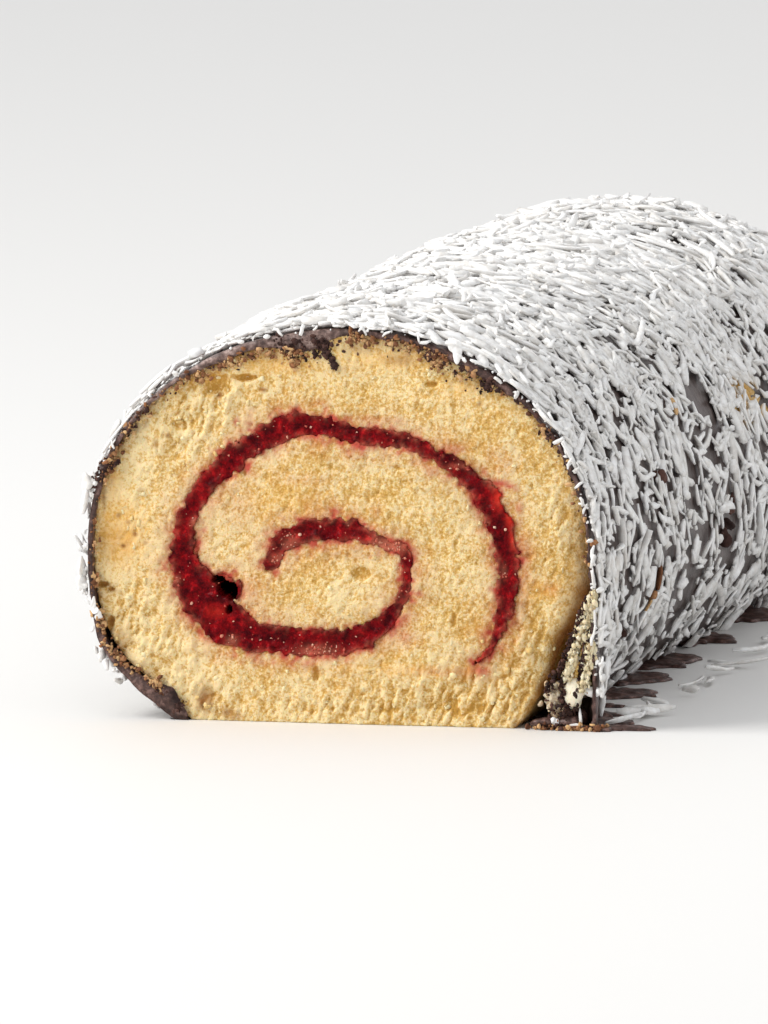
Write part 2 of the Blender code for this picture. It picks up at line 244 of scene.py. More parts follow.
def surface(angle, run, depth=0.0, skirt=True):
    """The ellipse's point at an angle, set in by the depth and, past the straight part, by the end."""
    bend = np.clip((run - (LENGTH - END_ROUND)) / END_ROUND, 0, np.pi / 2)
    past = np.maximum(run - (LENGTH - END_ROUND) - END_ROUND * np.pi / 2, 0)
    straight = np.minimum(run, LENGTH - END_ROUND)
    along = straight + np.where(bend > 0, (END_ROUND - depth) * np.sin(bend), 0)
    inset = END_ROUND * (1 - np.cos(bend)) + past + depth * np.cos(bend)
    below = np.where(np.sin(angle) > 0, inset, depth)
    lift = unevenness(angle, along) * np.cos(bend)
    share = skirt_share(angle, along) if skirt else 0.0
    out = np.cos(angle) + share * (1 - np.cos(angle))
    x = np.maximum(HALF_WIDTH - inset + lift, 0) * out
    z = CORE_HEIGHT + (half_height(angle) - below + lift) * np.sin(angle)
    return np.stack(np.broadcast_arrays(x, along, z), axis=-1)


def coat_thickness(angle):
    """The chocolate's even skin plus a bell curve for each thicker or thinner place."""
    return SKIN + MM * bells_round(angle, THICK_PLACES)


def base_angles():
    """Where the surface meets the floor: sine times half-height is minus the core's height."""
    right, left = -np.pi / 4, 5 * np.pi / 4
    for _ in range(12):  # the half-height depends on the angle, so each round comes closer
        right = -np.arcsin(CORE_HEIGHT / half_height(right))
        left = np.pi + np.arcsin(CORE_HEIGHT / half_height(left))
    return float(right), float(left)


RIGHT_FOOT, LEFT_FOOT = base_angles()
END_RUN = LENGTH - END_ROUND + END_ROUND * np.pi / 2
print("the section's top is at", round(float(surface(np.pi / 2, 0.0)[2]) / MM, 1), "mm")

# %% [markdown]
# ## The jam's spiral
#
# The jam could follow a spiral's formula, but a real one is squashed by its own weight and no two of
# its turns are alike. So it is a smooth curve through a few places read from the cut, each with a
# thickness. The jam's edge is where the distance to that curve is half the thickness, made ragged by
# noise.

# %% The jam's centre line and the distance from its edge
JAM_PATH = (  # x, height and thickness in millimetres, from the inner end outwards
    (-14.4, 30.1, 2.0),
    (-9.6, 35.9, 4.2),
    (-0.5, 37.3, 4.2),
    (8.5, 34.8, 2.0),
    (12.4, 33.2, 1.8),
    (12.9, 28.6, 2.2),
    (10.9, 22.4, 2.5),
    (3.5, 16.3, 4.2),
    (-7.5, 15.5, 5.2),
    (-18.5, 17.0, 6.4),
    (-26.0, 22.6, 9.2),
    (-31.0, 31.0, 5.2),
    (-28.4, 42.4, 3.8),
    (-20.0, 51.3, 4.2),
    (-9.0, 57.0, 4.6),
    (3.0, 55.6, 3.6),
    (14.0, 54.0, 2.6),
    (25.2, 47.6, 3.6),
    (29.4, 42.4, 4.6),
    (31.7, 36.5, 4.2),
    (32.6, 27.0, 3.8),
    (31.0, 19.8, 2.9),
    (28.4, 14.2, 1.7),
    (25.8, 12.2, 1.0),
)
JAM_STEPS = 16
JAM_RAG = 0.7 * MM
JAM_HOLES = (  # x, height, half-width, half-height and depth in millimetres
    (-24.3, 27.1, 1.3, 0.8, 8.0),
    (-23.0, 25.4, 1.5, 1.5, 9.0),
    (-21.6, 24.8, 1.2, 1.6, 8.0),
    (-22.1, 21.4, 0.6, 0.8, 4.0),
)


def smooth_path(places, steps):
    """Catmull-Rom curve: each stretch is the cubic that leaves one place and meets the next smoothly."""
    path = np.array(places)
    ends = np.concatenate([2 * path[:1] - path[1:2], path, 2 * path[-1:] - path[-2:-1]])
    before, start, stop, after = ends[:-3, None], ends[1:-2, None], ends[2:-1, None], ends[3:, None]
    t = (np.arange(steps) / steps)[None, :, None]
    curve = 2 * start + (stop - before) * t + (2 * before - 5 * start + 4 * stop - after) * t**2
    curve = (curve + (3 * start - before - 3 * stop + after) * t**3) / 2
    return np.concatenate([curve.reshape(-1, path.shape[1]), path[-1:]])


jam_line = smooth_path(JAM_PATH, JAM_STEPS) * MM


def jam_distance(x, z):
    """Distance to the nearest point of the centre line, less half the thickness there. Negative is jam."""
    nearest = np.full(x.shape, 1.0)
    for px, pz, thick in jam_line:
        np.minimum(nearest, np.hypot(x - px, z - pz) - thick / 2, out=nearest)
    for hole_x, hole_z, half_x, half_z, _ in np.array(JAM_HOLES) * MM:
        hole = (np.hypot((x - hole_x) / half_x, (z - hole_z) / half_z) - 1) * half_x - 0.6 * MM
        np.minimum(nearest, hole, out=nearest)
    ragged = 1.1 * rough_noise(x, z, 3.2 * MM, 3, 11) + 1.0 * rough_noise(x, z, 1.0 * MM, 2, 15)
    return nearest + JAM_RAG * ragged


jam_length = np.linalg.norm(np.diff(jam_line[:, :2], axis=0), axis=1).sum()
print("the jam's line is", round(float(jam_length) / MM), "mm")

# %% [markdown]
# ## Where the pieces stand
#
# The formulas above measure from the middle of the section and from the cut. The frame's boxes say
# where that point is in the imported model, so two small shifts put every piece in its place.

# %% Shift from the roll's own measures to the frame
def frame_offset():
    """The jam's left-most point and the cut, as the formulas give them, against the frame's boxes."""
    heading = np.gradient(smooth_path(JAM_PATH, 4)[:, :2], axis=0)
    heading /= np.linalg.norm(heading, axis=1)[:, None]
    line = smooth_path(JAM_PATH, 4) * MM
    left = (line[:, 0] - np.abs(heading[:, 1]) * line[:, 2] / 2).min()
    return np.array((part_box("jam")[0][0] - left, cut_y, 0.0))


OFFSET = frame_offset()
print("offset in mm:", np.round(OFFSET / MM, 2))

# %% [markdown]
# ## The cut face
#
# The cut is the heart of the picture. It could be a flat disc with a bumpy material, but a torn
# crumb has real depth that shows in raking light. So the face is a fine grid of squares, a little
# under a third of a millimetre wide. Squares inside the sponge belong to the sponge and squares
# inside the jam to the jam. Points on a border slide onto it, each point is pushed in by the relief
# there, and the borders are then carried back through the whole roll, so both are closed solids.

# %% The grid, and which food each place belongs to
CELL = 0.29 * MM
grid_x = np.arange(-51 * MM, 51 * MM, CELL)
grid_z = np.arange(0, 78 * MM, CELL)
GX, GZ = np.meshgrid(grid_x, grid_z, indexing="ij")
TORN_EDGE = (  # height, half-height and depth in millimetres, where the sponge tore off the loose coat
    (10.5, 8.0, 2.5),
    (17.0, 4.5, 2.1),
)


def section_place(x, z):
    """The angle and the share of the way out, 1 at the sponge's edge, of a point of the cut."""
    angle = np.arctan2((z - CORE_HEIGHT) / TOP_RISE, x / HALF_WIDTH)
    for _ in range(3):  # the half-sizes depend on the angle, so each round comes closer
        loss = coat_thickness(np.mod(angle + np.pi / 2, 2 * np.pi) - np.pi / 2) - unevenness(angle, 0.0)
        angle = np.arctan2((z - CORE_HEIGHT) / (half_height(angle) - loss), x / (HALF_WIDTH - loss))
    reach = np.hypot(x / (HALF_WIDTH - loss), (z - CORE_HEIGHT) / (half_height(angle) - loss))
    return np.mod(angle + np.pi / 2, 2 * np.pi) - np.pi / 2, reach


face_angle, face_reach = section_place(GX, GZ)
jam_gap = jam_distance(GX, GZ)
edge_gap = (face_reach - 1) * GIRTH_RADIUS + 0.18 * MM * rough_noise(GX, GZ, 1.6 * MM, 2, 21)
for height, tall, deep in TORN_EDGE:
    edge_gap += np.where(GX > 20 * MM, deep * MM * np.exp(-(((GZ / MM - height) / tall) ** 2)), 0.0)
in_sponge = np.maximum(edge_gap, -jam_gap)
in_jam = np.maximum(edge_gap, jam_gap)
print("grid", GX.shape, "sponge share", round(float((in_sponge < 0).mean()), 2))

# %% [markdown]
# The relief is measured inwards from the cut. Fresh sponge is a foam: its walls tear between pores
# of two sizes and leave soft bumps. Where the knife dragged, at the shoulders and near the base, whole
# crags broke out. The jam lies a little lower and wet, in lumps.

# %% The relief of the sponge and of the jam
CRAGS = (  # x, height, half-width, half-height, in millimetres, and how deep the crumb broke out
    (-26.0, 62.0, 8.0, 6.0, 1.6),
    (-32.0, 55.0, 6.0, 7.0, 1.6),
    (-41.0, 42.0, 4.0, 10.0, 0.7),
    (-42.0, 20.0, 5.0, 7.0, 1.5),
    (-35.0, 13.0, 8.0, 6.0, 1.2),
    (-25.0, 4.0, 6.0, 4.0, 1.0),
    (-5.0, 3.0, 12.0, 3.5, 0.8),
    (15.0, 4.0, 12.0, 4.5, 1.2),
    (30.0, 7.0, 10.0, 6.0, 1.4),
    (37.0, 17.0, 4.0, 8.0, 1.1),
    (42.0, 38.0, 3.0, 8.0, 0.8),
    (22.0, 67.0, 9.0, 2.5, 0.6),
)
PITS = (  # smooth-walled hollows left by large bubbles, with a depth in millimetres
    (-24.2, 64.6, 3.0, 2.4, 1.3),
    (-19.0, 66.0, 2.6, 0.8, 1.4),
    (3.9, 28.9, 2.0, 1.4, 0.8),
    (17.5, 65.6, 1.3, 0.6, 0.9),
    (-32.0, 56.5, 1.6, 1.2, 0.8),
    (-47.2, 25.4, 1.4, 0.7, 1.2),
    (-45.6, 24.6, 1.0, 0.5, 0.9),
    (-45.4, 18.4, 0.8, 1.2, 1.0),
    (11.0, 49.5, 1.0, 0.6, 0.6),
    (36.5, 33.0, 0.9, 0.7, 0.5),
    (-5.0, 9.5, 0.8, 1.6, 0.8),
    (22.0, 20.5, 0.6, 1.4, 0.6),
)


def bell(x, z, place):
    """A bell curve that is 1 at a place and falls away over its half-sizes."""
    return np.exp(-(((x / MM - place[0]) / place[2]) ** 2) - ((z / MM - place[1]) / place[3]) ** 2)


def bowl(x, z, place):
    """A round hollow's depth: the square root of one less the squared distance from its middle."""
    wobble = 1 + 0.25 * smooth_noise(x / (0.8 * MM), z / (0.8 * MM), 31)
    away = (((x / MM - place[0]) / place[2]) ** 2 + ((z / MM - place[1]) / place[3]) ** 2) * wobble
    return place[4] * MM * np.sqrt(np.clip(1 - away, 0, 1))


def pores(x, z, size, share, seed):
    """Pits, one at most in each square of this size, each a bowl whose outline a second noise bends."""
    bent_x = x + 0.35 * size * smooth_noise(x / (0.6 * size), z / (0.6 * size), seed + 7)
    bent_z = z + 0.35 * size * smooth_noise(z / (0.6 * size), x / (0.6 * size), seed + 8)
    away, label = nearest_pit(bent_x, bent_z, size, seed)
    radius = size * 0.5 * np.clip(1 - label / share, 0, 1) ** 0.5
    return 0.6 * np.sqrt(np.clip(radius**2 - away**2, 0, None))


def lower_right():
    """1 on the part of the face by the loose coat, falling to 0 above it and towards the foot."""
    degrees = np.degrees(face_angle)
    window = np.clip((24 - degrees) / 34, 0, 1) * np.clip((degrees + 46) / 12, 0, 1)
    return np.where(GX > 0, window, 0.0)


def height_share():
    """0 up to 14 mm above the floor, where the edge curves back less, and 1 from 24 mm."""
    return np.clip((GZ / MM - 14) / 10, 0, 1)


def rolled_off(x):
    """A quarter circle at the soft lower right edge, and a square law that bows the face by 1 mm."""
    higher = height_share()
    near = np.clip(1 + edge_gap / ((4 + 2.5 * higher) * MM), 0, 0.97)
    curve = (3.4 + 1.6 * higher) * MM * lower_right() * (1 - np.sqrt(1 - near**2))
    return curve + 1.0 * MM * (x / (45 * MM)) ** 2


def sponge_relief(x, z):
    """Soft bumps, streaky crumb, fine pores, broken crags, single hollows, and a lip falling to the jam."""
    crag = np.clip(sum(bell(x, z, place) * place[4] for place in CRAGS), 0, 1.5)
    across, along = 0.94 * x - 0.34 * z, 0.4 * (0.34 * x + 0.94 * z)
    torn = 1 - 2 * np.abs(rough_noise(across, along, 1.7 * MM, 3, 41))
    chunky = np.clip(-x / (20 * MM), 0, 1)
    broken = (0.62 - 0.3 * chunky) * np.clip(torn, 0, 1) ** 1.5
    broken += 0.42 * rough_noise(across, along, 0.8 * MM, 2, 45) + 0.3 * rough_noise(x, z, 4 * MM, 2, 47)
    broken += 0.6 * chunky * rough_noise(x, z, 2.8 * MM, 2, 49)
    bumps = 0.35 * rough_noise(x, z, 8 * MM, 2, 51) + 0.22 * rough_noise(x, 0.75 * z, 0.7 * MM, 2, 53)
    fine = pores(x, 0.85 * z, 0.75 * MM, 0.45, 61) + 0.8 * pores(x, 0.8 * z, 1.5 * MM, 0.10, 64)
    hollows = np.max([bowl(x, z, place) for place in PITS], axis=0)
    lip = 0.35 * MM * np.exp(-np.clip(jam_gap, 0, None) / (1.0 * MM))
    return MM * (bumps + crag * broken + 0.25) + 0.8 * fine + hollows + lip + rolled_off(x)


def jam_relief(x, z):
    """Wet lumps under a smooth skin, lowest in the middle of a thick run, with one deep lobed hole."""
    lumps = 0.5 * rough_noise(x, z, 3.0 * MM, 3, 71) + 0.4 * rough_noise(x, z, 1.0 * MM, 3, 75)
    middle = np.clip(-jam_gap / (2.5 * MM), 0, 1)
    return MM * (lumps + 0.45 + 0.5 * middle) + np.max([bowl(x, z, place) for place in JAM_HOLES], axis=0)


sponge_depth = sponge_relief(GX, GZ)
jam_depth = jam_relief(GX, GZ)
print("sponge relief mm", np.round(np.percentile(sponge_depth[in_sponge < 0] / MM, (5, 50, 95)), 2))

# %% [markdown]
# Two foods share the grid, so each first needs its own squares. A border could be cut through the
# squares, but it is simpler to keep whole squares and slide the points at the border onto the line
# where the distance is zero. Squares that hang on by a corner would leave a solid with a pinched
# edge, which no tool can fill, so they are dropped.

# %% Choose a food's squares and fit its border
LONGEST_SLIDE = 0.55 * CELL


def squares_inside(field):
    """Squares whose middle is inside, less those with few neighbours or that touch at a corner."""
    inside = (field[:-1, :-1] + field[1:, :-1] + field[1:, 1:] + field[:-1, 1:]) < 0
    for _ in range(6):  # dropping one square can leave the next one hanging
        padded = np.pad(inside, 1).astype(int)
        beside = padded[:-2, 1:-1] + padded[2:, 1:-1] + padded[1:-1, :-2] + padded[1:-1, 2:]
        inside &= beside >= 2
        corner = np.pad(inside, 1)
        for up, along in ((1, 1), (1, -1)):
            ahead = np.roll(corner, (-up, -along), (0, 1))
            lone = corner & ahead & ~np.roll(corner, -up, 0) & ~np.roll(corner, -along, 1)
            corner &= ~lone
        inside = corner[1:-1, 1:-1]
    return inside


def slide_to_border(field, inside):
    """Border points move down the field's slope, by the field over the slope, to where it is zero."""
    padded = np.pad(inside, 1).astype(int)
    around = padded[:-1, :-1] + padded[1:, :-1] + padded[1:, 1:] + padded[:-1, 1:]
    slope_x, slope_z = np.gradient(field, CELL)
    steep = np.maximum(slope_x**2 + slope_z**2, 0.2)
    on_border = (around > 0) & (around < 4)
    move_x = np.clip(-field * slope_x / steep, -LONGEST_SLIDE, LONGEST_SLIDE)
    move_z = np.clip(-field * slope_z / steep, -LONGEST_SLIDE, LONGEST_SLIDE)
    x = GX + np.where(on_border, move_x, 0)
    z = GZ + np.where(on_border & (GZ > 0), move_z, 0)
    return x, np.maximum(z, 0)


print("squares of sponge and of jam:", squares_inside(in_sponge).sum(), squares_inside(in_jam).sum())

# %% [markdown]
# To make a solid of each food, its squares become the front, every border edge is carried back as a
# strip of walls through stations along the roll, and the last ring is filled. A border point keeps
# its angle and its share of the way out at each station, so that it follows the roll's lumps.

# %% Carry a region of the face back through the roll
WALL_STATIONS = np.array([6, 16, 36, 80, 130, 180, 230]) * MM
ROUND_BENDS = np.linspace(0, np.pi / 2, 4)


def carried_back(x, z, run):
    """A border point at a station: the same angle, and the same share of the way from core to edge."""
    angle, reach = section_place(x, z)
    edge = surface(angle, np.full(angle.shape, run), coat_thickness(angle), skirt=False)
    core = np.array((0.0, 0.0, CORE_HEIGHT))
    point = core + reach[..., None] * (edge - core)
    point[..., 1] = surface(0.0, run, END_SKIN)[1]
    point[..., 2] = np.where(z < 0.01 * MM, 0.0, np.maximum(point[..., 2], 0.0))
    return point


def region_solid(name, field, depth):
    """The front of squares, walls through every station, and a filled far end, as one closed mesh."""
    inside = squares_inside(field)
    x, z = slide_to_border(field, inside)
    number = np.arange(GX.size).reshape(GX.shape)
    corners = [number[:-1, :-1], number[1:, :-1], number[1:, 1:], number[:-1, 1:]]
    front = np.stack([corner[inside] for corner in corners], axis=1)
    padded = np.pad(inside, 1)
    beyond = [padded[1:-1, :-2], padded[2:, 1:-1], padded[1:-1, 2:], padded[:-2, 1:-1]]
    border = np.concatenate([
        np.stack([corners[k][inside & ~beyond[k]], corners[(k + 1) % 4][inside & ~beyond[k]]], axis=1)
        for k in range(4)
    ])
    used, front = np.unique(front, return_inverse=True)
    front = front.reshape(-1, 4)
    rim, edges = np.unique(border, return_inverse=True)
    edges = edges.reshape(-1, 2)
    flat_x, flat_z = x.ravel(), z.ravel()
    points = [np.stack([flat_x[used], depth.ravel()[used], flat_z[used]], axis=1)]
    rings = [np.searchsorted(used, rim)]
    runs = [*WALL_STATIONS, *(LENGTH - END_ROUND + END_ROUND * ROUND_BENDS)]
    for k, run in enumerate(runs):
        points.append(carried_back(flat_x[rim], flat_z[rim], run))
        rings.append(len(used) + k * len(rim) + np.arange(len(rim)))
    walls = [
        np.stack([near[edges[:, 1]], near[edges[:, 0]], far[edges[:, 0]], far[edges[:, 1]]], axis=1)
        for near, far in zip(rings, rings[1:])
    ]
    mesh = new_mesh(name, np.concatenate(points) + OFFSET, front, np.concatenate(walls))
    close_far_end(mesh)
    return mesh, used


def close_far_end(mesh):
    """Fill the last ring, holes and all, with flat triangles."""
    work = bmesh.new()
    work.from_mesh(mesh)
    open_edges = [edge for edge in work.edges if edge.is_boundary]
    bmesh.ops.triangle_fill(work, use_beauty=True, edges=open_edges, normal=(0, 1, 0))
    bmesh.ops.recalc_face_normals(work, faces=work.faces)
    work.to_mesh(mesh)
    work.free()


# %% [markdown]
# ## Finishes for crumb and jam
#
# The crumb's colour comes from its shape: torn ridges are pale cream, hollows are painted deeper gold
# as shade, and beside the jam the crumb is stained pink. The left of the face is painted paler, as
# painted light from the left. The shapes are in the mesh, so the mesh carries these shares as
# attributes, and fine noise on Object coordinates adds the grain below the grid's size.

# %% A small kit for node materials
def new_material(name, roughness, specular=0.5):
    """A Principled material with its constants set on the shader's own sockets."""
    print("material", name)
    made = bpy.data.materials.new(name)
    made.use_nodes = True
    shader = made.node_tree.nodes["Principled BSDF"]
    shader.inputs["Roughness"].default_value = roughness
    shader.inputs["Specular IOR Level"].default_value = specular
    return made, made.node_tree, shader


def node(tree, kind, settings=None, **inputs):
    """A node with its settings and inputs: _ stands for a space, and _0 for the input of that number."""
    made = tree.nodes.new(kind)
    for key, value in (settings or {}).items():
        setattr(made, key, value)
    for key, value in inputs.items():
        title = key.replace("_", " ")
        socket = made.inputs[title] if title in made.inputs else made.inputs[int(key[1:])]
        if isinstance(value, bpy.types.NodeSocket):
            tree.links.new(value, socket)
        else:
            socket.default_value = value
    return made


def noise(tree, per_metre, detail=3.0, rough=0.6):
    """Noise on Object coordinates with this many waves in a metre."""
    place = node(tree, "ShaderNodeTexCoord").outputs["Object"]
    made = node(tree, "ShaderNodeTexNoise", Vector=place, Scale=per_metre, Detail=detail, Roughness=rough)
    return made.outputs["Fac"]


def ramp(tree, value, *stops):
    """A colour ramp: each stop is a place from 0 to 1 and a colour."""
    made = node(tree, "ShaderNodeValToRGB", Fac=value)
    elements = made.color_ramp.elements
    while len(elements) < len(stops):
        elements.new(0.5)
    for element, (at, colour) in zip(elements, stops):
        element.position = at
        element.color = (*colour, 1.0)
    return made.outputs["Color"]


def mix(tree, share, one, other, blend="MIX"):
    """A colour between two by a share, or another blend of them, such as their product."""
    made = tree.nodes.new("ShaderNodeMix")
    made.data_type = "RGBA"
    made.blend_type = blend
    for index, value in ((0, share), (6, one), (7, other)):
        if isinstance(value, bpy.types.NodeSocket):
            tree.links.new(value, made.inputs[index])
        else:
            made.inputs[index].default_value = value if index == 0 else (*value, 1.0)
    return made.outputs[2]


def math_node(tree, operation, one, other=0.0):
    """One sum on two numbers or sockets."""
    return node(tree, "ShaderNodeMath", {"operation": operation}, _0=one, _1=other).outputs[0]


def attribute(tree, name):
    """The number that each point of the mesh carries under this name."""
    return node(tree, "ShaderNodeAttribute", {"attribute_name": name}).outputs["Fac"]


def bump(tree, shader, height, distance, strength=1.0):
    """Fine relief below the mesh's own size."""
    made = node(tree, "ShaderNodeBump", Height=height, Distance=distance, Strength=strength)
    tree.links.new(made.outputs["Normal"], shader.inputs["Normal"])


# %% The sponge's material
# The ramp from CREAM to DEEP_GOLD also paints shade in the crumb's hollows and light on the left.
CREAM = (0.89, 0.71, 0.39)
GOLD = (0.735, 0.475, 0.16)
DEEP_GOLD = (0.57, 0.31, 0.06)
AMBER = (0.93, 0.50, 0.10)
# Brown of toasted crumb, also used as painted shade at the lower right edge.
TOAST_AND_SHADE = (0.33, 0.14, 0.035)
PINK_STAIN = (0.52, 0.08, 0.05)


def sponge_material():
    """Cream to gold by grain, by painted shade in hollows and painted light on the left; toasted by the
    coat or painted brown as shade at the lower right edge; stained beside the jam.
    """
    made, tree, shader = new_material("vanilla_sponge", 0.85, 0.3)
    # The tone carries painted shade in hollows and pits, and painted light on the left of the face.
    tone = attribute(tree, "hollow")
    for per_metre, detail, strength in ((2000, 3, 3.0), (480, 3, 1.5), (95, 3, 1.6)):
        swing = math_node(tree, "SUBTRACT", noise(tree, per_metre, detail), 0.5)
        tone = math_node(tree, "ADD", tone, math_node(tree, "MULTIPLY", swing, strength))
    colour = ramp(tree, tone, (0.05, CREAM), (0.5, GOLD), (1.0, DEEP_GOLD))
    colour = mix(tree, attribute(tree, "warm"), colour, AMBER)
    colour = mix(tree, attribute(tree, "toast_and_shade"), colour, TOAST_AND_SHADE)
    colour = mix(tree, attribute(tree, "stain"), colour, PINK_STAIN)
    tree.links.new(colour, shader.inputs["Base Color"])
    shader.inputs["Subsurface Weight"].default_value = 0.25
    shader.inputs["Subsurface Radius"].default_value = (1.0, 0.6, 0.25)
    shader.inputs["Subsurface Scale"].default_value = 0.0012
    bump(tree, shader, noise(tree, 2600, 3), 0.0004, 0.8)
    return made


SPONGE = sponge_material()

# %% [markdown]
# Berry jam is dark where it is thick and bright where light passes through a thin film. It could be
# glass-like, but light would then have to find its way through a closed solid, which is slow and
# noisy. A red that changes with fine noise, a little light under the skin and a wet coat look alike.

# %% The jam's material
JAM_DARK = (0.05, 0.001, 0.003)
JAM_RED = (0.20, 0.002, 0.005)
JAM_BRIGHT = (0.55, 0.012, 0.014)
JAM_FILM = (0.72, 0.035, 0.020)
CRUMB_IN_JAM = (0.52, 0.15, 0.09)
# Near black, painted as the shade deep inside the jam's hole.
JAM_HOLE_SHADE = (0.004, 0.001, 0.001)


def jam_material():
    """Dark wet red with brighter pulp, painted near black as shade in the deep hole, smooth enough to catch
    the light in small spots.
    """
    made, tree, shader = new_material("berry_jam", 0.2, 0.03)
    pulp = noise(tree, 420, 6, 0.8)
    colour = ramp(tree, pulp, (0.41, JAM_DARK), (0.56, JAM_RED), (0.70, JAM_BRIGHT))
    colour = mix(tree, attribute(tree, "bright"), colour, JAM_FILM)
    colour = mix(tree, attribute(tree, "stain"), colour, CRUMB_IN_JAM)
    # Painted shade: the deep hole turns near black.
    colour = mix(tree, attribute(tree, "deep"), colour, JAM_HOLE_SHADE)
    tree.links.new(colour, shader.inputs["Base Color"])
    shader.inputs["Subsurface Weight"].default_value = 0.15
    shader.inputs["Subsurface Radius"].default_value = (1.0, 0.1, 0.1)
    shader.inputs["Subsurface Scale"].default_value = 0.001
    shader.inputs["Coat Weight"].default_value = 0.03
    shader.inputs["Coat Roughness"].default_value = 0.08
    bump(tree, shader, noise(tree, 1300, 3), 0.0004, 0.8)
    return made


JAM = jam_material()

# %% [markdown]
# The crumb isn't one colour. Oven heat toasted its rim, jam soaked into it, and some places are
# yellower. These patches could be painted on an image, but soft-edged ellipses, listed one by one and
# made ragged by noise, need no picture and fit the grid however fine it is.

# %% Patches of other colours on the cut
# Each row is x, height, half-width and half-height in millimetres, and strength.
TOASTED = (  # brown crust
    (-44.8, 34.5, 3.2, 4.4, 0.5),
    (-42.0, 37.6, 0.6, 0.5, 1.3),
    (-40.6, 35.4, 0.5, 0.6, 1.2),
    (-44.0, 38.8, 0.5, 0.5, 1.2),
    (-43.0, 33.0, 0.7, 0.5, 1.2),
    (-38.6, 33.8, 0.5, 0.5, 1.1),
    (-46.8, 43.0, 0.5, 3.0, 1.0),
    (-43.4, 12.6, 1.5, 2.0, 0.9),
    (-40.4, 9.4, 1.6, 1.3, 0.8),
    # The next three rows darken the creases over the pits at the left edge.
    (-47.0, 25.4, 1.8, 0.6, 0.9),
    (-45.2, 24.4, 1.2, 0.5, 0.9),
    (-45.6, 18.6, 1.0, 1.5, 1.0),
    (-44.2, 15.8, 2.4, 1.5, 0.7),
    (-26.8, 4.0, 1.6, 2.2, 1.5),
    (-22.4, 1.6, 2.0, 1.0, 0.9),
    (11.6, 70.2, 3.4, 1.3, 0.8),
    (3.5, 72.0, 2.6, 0.9, 0.6),
    (-14.0, 70.6, 4.0, 1.2, 0.6),
    (-21.0, 0.8, 2.2, 0.8, 0.7),
    (-15.4, 63.8, 0.8, 0.45, 1.2),
    (-24.0, 62.5, 0.6, 0.7, 1.2),
    (-34.2, 54.6, 0.8, 0.6, 0.9),
    (-36.5, 52.8, 0.6, 0.9, 0.7),
    (-39.5, 44.0, 0.6, 0.5, 0.8),
    (-41.5, 8.0, 2.5, 2.0, 0.5),
    (17.0, 25.5, 2.8, 2.6, 0.28),
    (27.5, 66.0, 3.2, 1.6, 0.4),
    (27.0, 62.0, 0.5, 0.4, 1.0),
    (46.5, 34.0, 1.2, 3.0, 0.3),
    (1.0, 68.0, 5.0, 1.6, 0.2),
)
YELLOW = (  # deeper yellow crumb
    (-26.0, 64.5, 5.0, 4.0, 1.0),
    (-29.0, 57.5, 2.5, 3.0, 1.0),
    (-40.0, 22.0, 4.0, 6.0, 0.7),
    (44.5, 40.0, 3.0, 9.0, 0.9),
    (44.0, 22.0, 2.0, 6.0, 0.5),
    (-10.0, 5.0, 12.0, 4.0, 0.5),
    (20.0, 5.0, 14.0, 4.0, 0.6),
    (12.0, 43.0, 9.0, 5.0, 0.4),
)
WARM = (  # amber crumb, tinted by the crust or the jam
    (-44.0, 35.5, 5.0, 5.5, 1.25),
    (-46.0, 46.0, 2.5, 4.5, 0.8),
    (-27.0, 66.0, 6.0, 2.5, 0.5),
    (-12.0, 68.5, 9.0, 1.8, 0.6),
    (8.0, 70.0, 9.0, 2.0, 0.7),
    (24.0, 65.0, 6.0, 2.0, 0.6),
    (38.5, 26.5, 3.0, 2.0, 0.8),
    (-10.0, 42.0, 7.0, 3.0, 0.5),
    (12.0, 10.5, 10.0, 1.2, 0.5),
    (25.0, 10.8, 2.6, 1.0, 1.0),
)
BRIGHT_JAM = (  # where the jam is a thin film over pale crumb
    (31.2, 44.8, 1.4, 2.4, 1.3),
    (33.2, 40.8, 1.0, 2.6, 1.3),
    (33.8, 36.2, 0.8, 2.2, 1.0),
    (27.0, 13.0, 2.2, 1.4, 0.8),
    (-22.5, 29.0, 1.4, 2.4, 0.5),
    (-24.5, 21.0, 2.0, 1.2, 0.6),
    (-14.0, 12.8, 2.6, 0.8, 0.7),
)
STAINED = (  # crumb that the jam turned pink
    (-20.4, 42.0, 4.0, 6.0, 0.24),
    (-17.5, 47.5, 1.2, 1.8, 0.4),
    (30.4, 46.8, 2.6, 0.9, 1.5),
    (32.6, 46.4, 1.6, 0.6, 1.0),
    (34.0, 45.8, 0.8, 0.5, 0.6),
    (34.6, 42.4, 1.0, 1.6, 0.6),
    (35.8, 32.0, 1.6, 6.0, 0.34),
    (31.0, 50.8, 3.4, 3.0, 0.36),
    (9.0, 58.6, 5.0, 0.8, 0.5),
    (22.0, 53.4, 3.2, 1.4, 0.5),
    (19.5, 10.5, 6.0, 0.9, 0.35),
    (40.5, 27.0, 2.0, 1.6, 0.34),
    (27.2, 10.8, 1.8, 1.1, 0.75),
    (-8.0, 47.0, 6.0, 1.4, 0.22),
    (-20.7, 57.5, 0.7, 0.9, 0.9),
    (-26.0, 52.0, 0.6, 0.5, 0.6),
    (7.0, 41.0, 1.0, 1.6, 0.42),
    (5.0, 34.0, 4.0, 0.8, 0.6),
    (-17.5, 26.0, 2.6, 3.4, 0.32),
    (12.5, 17.0, 3.2, 1.6, 0.45),
)
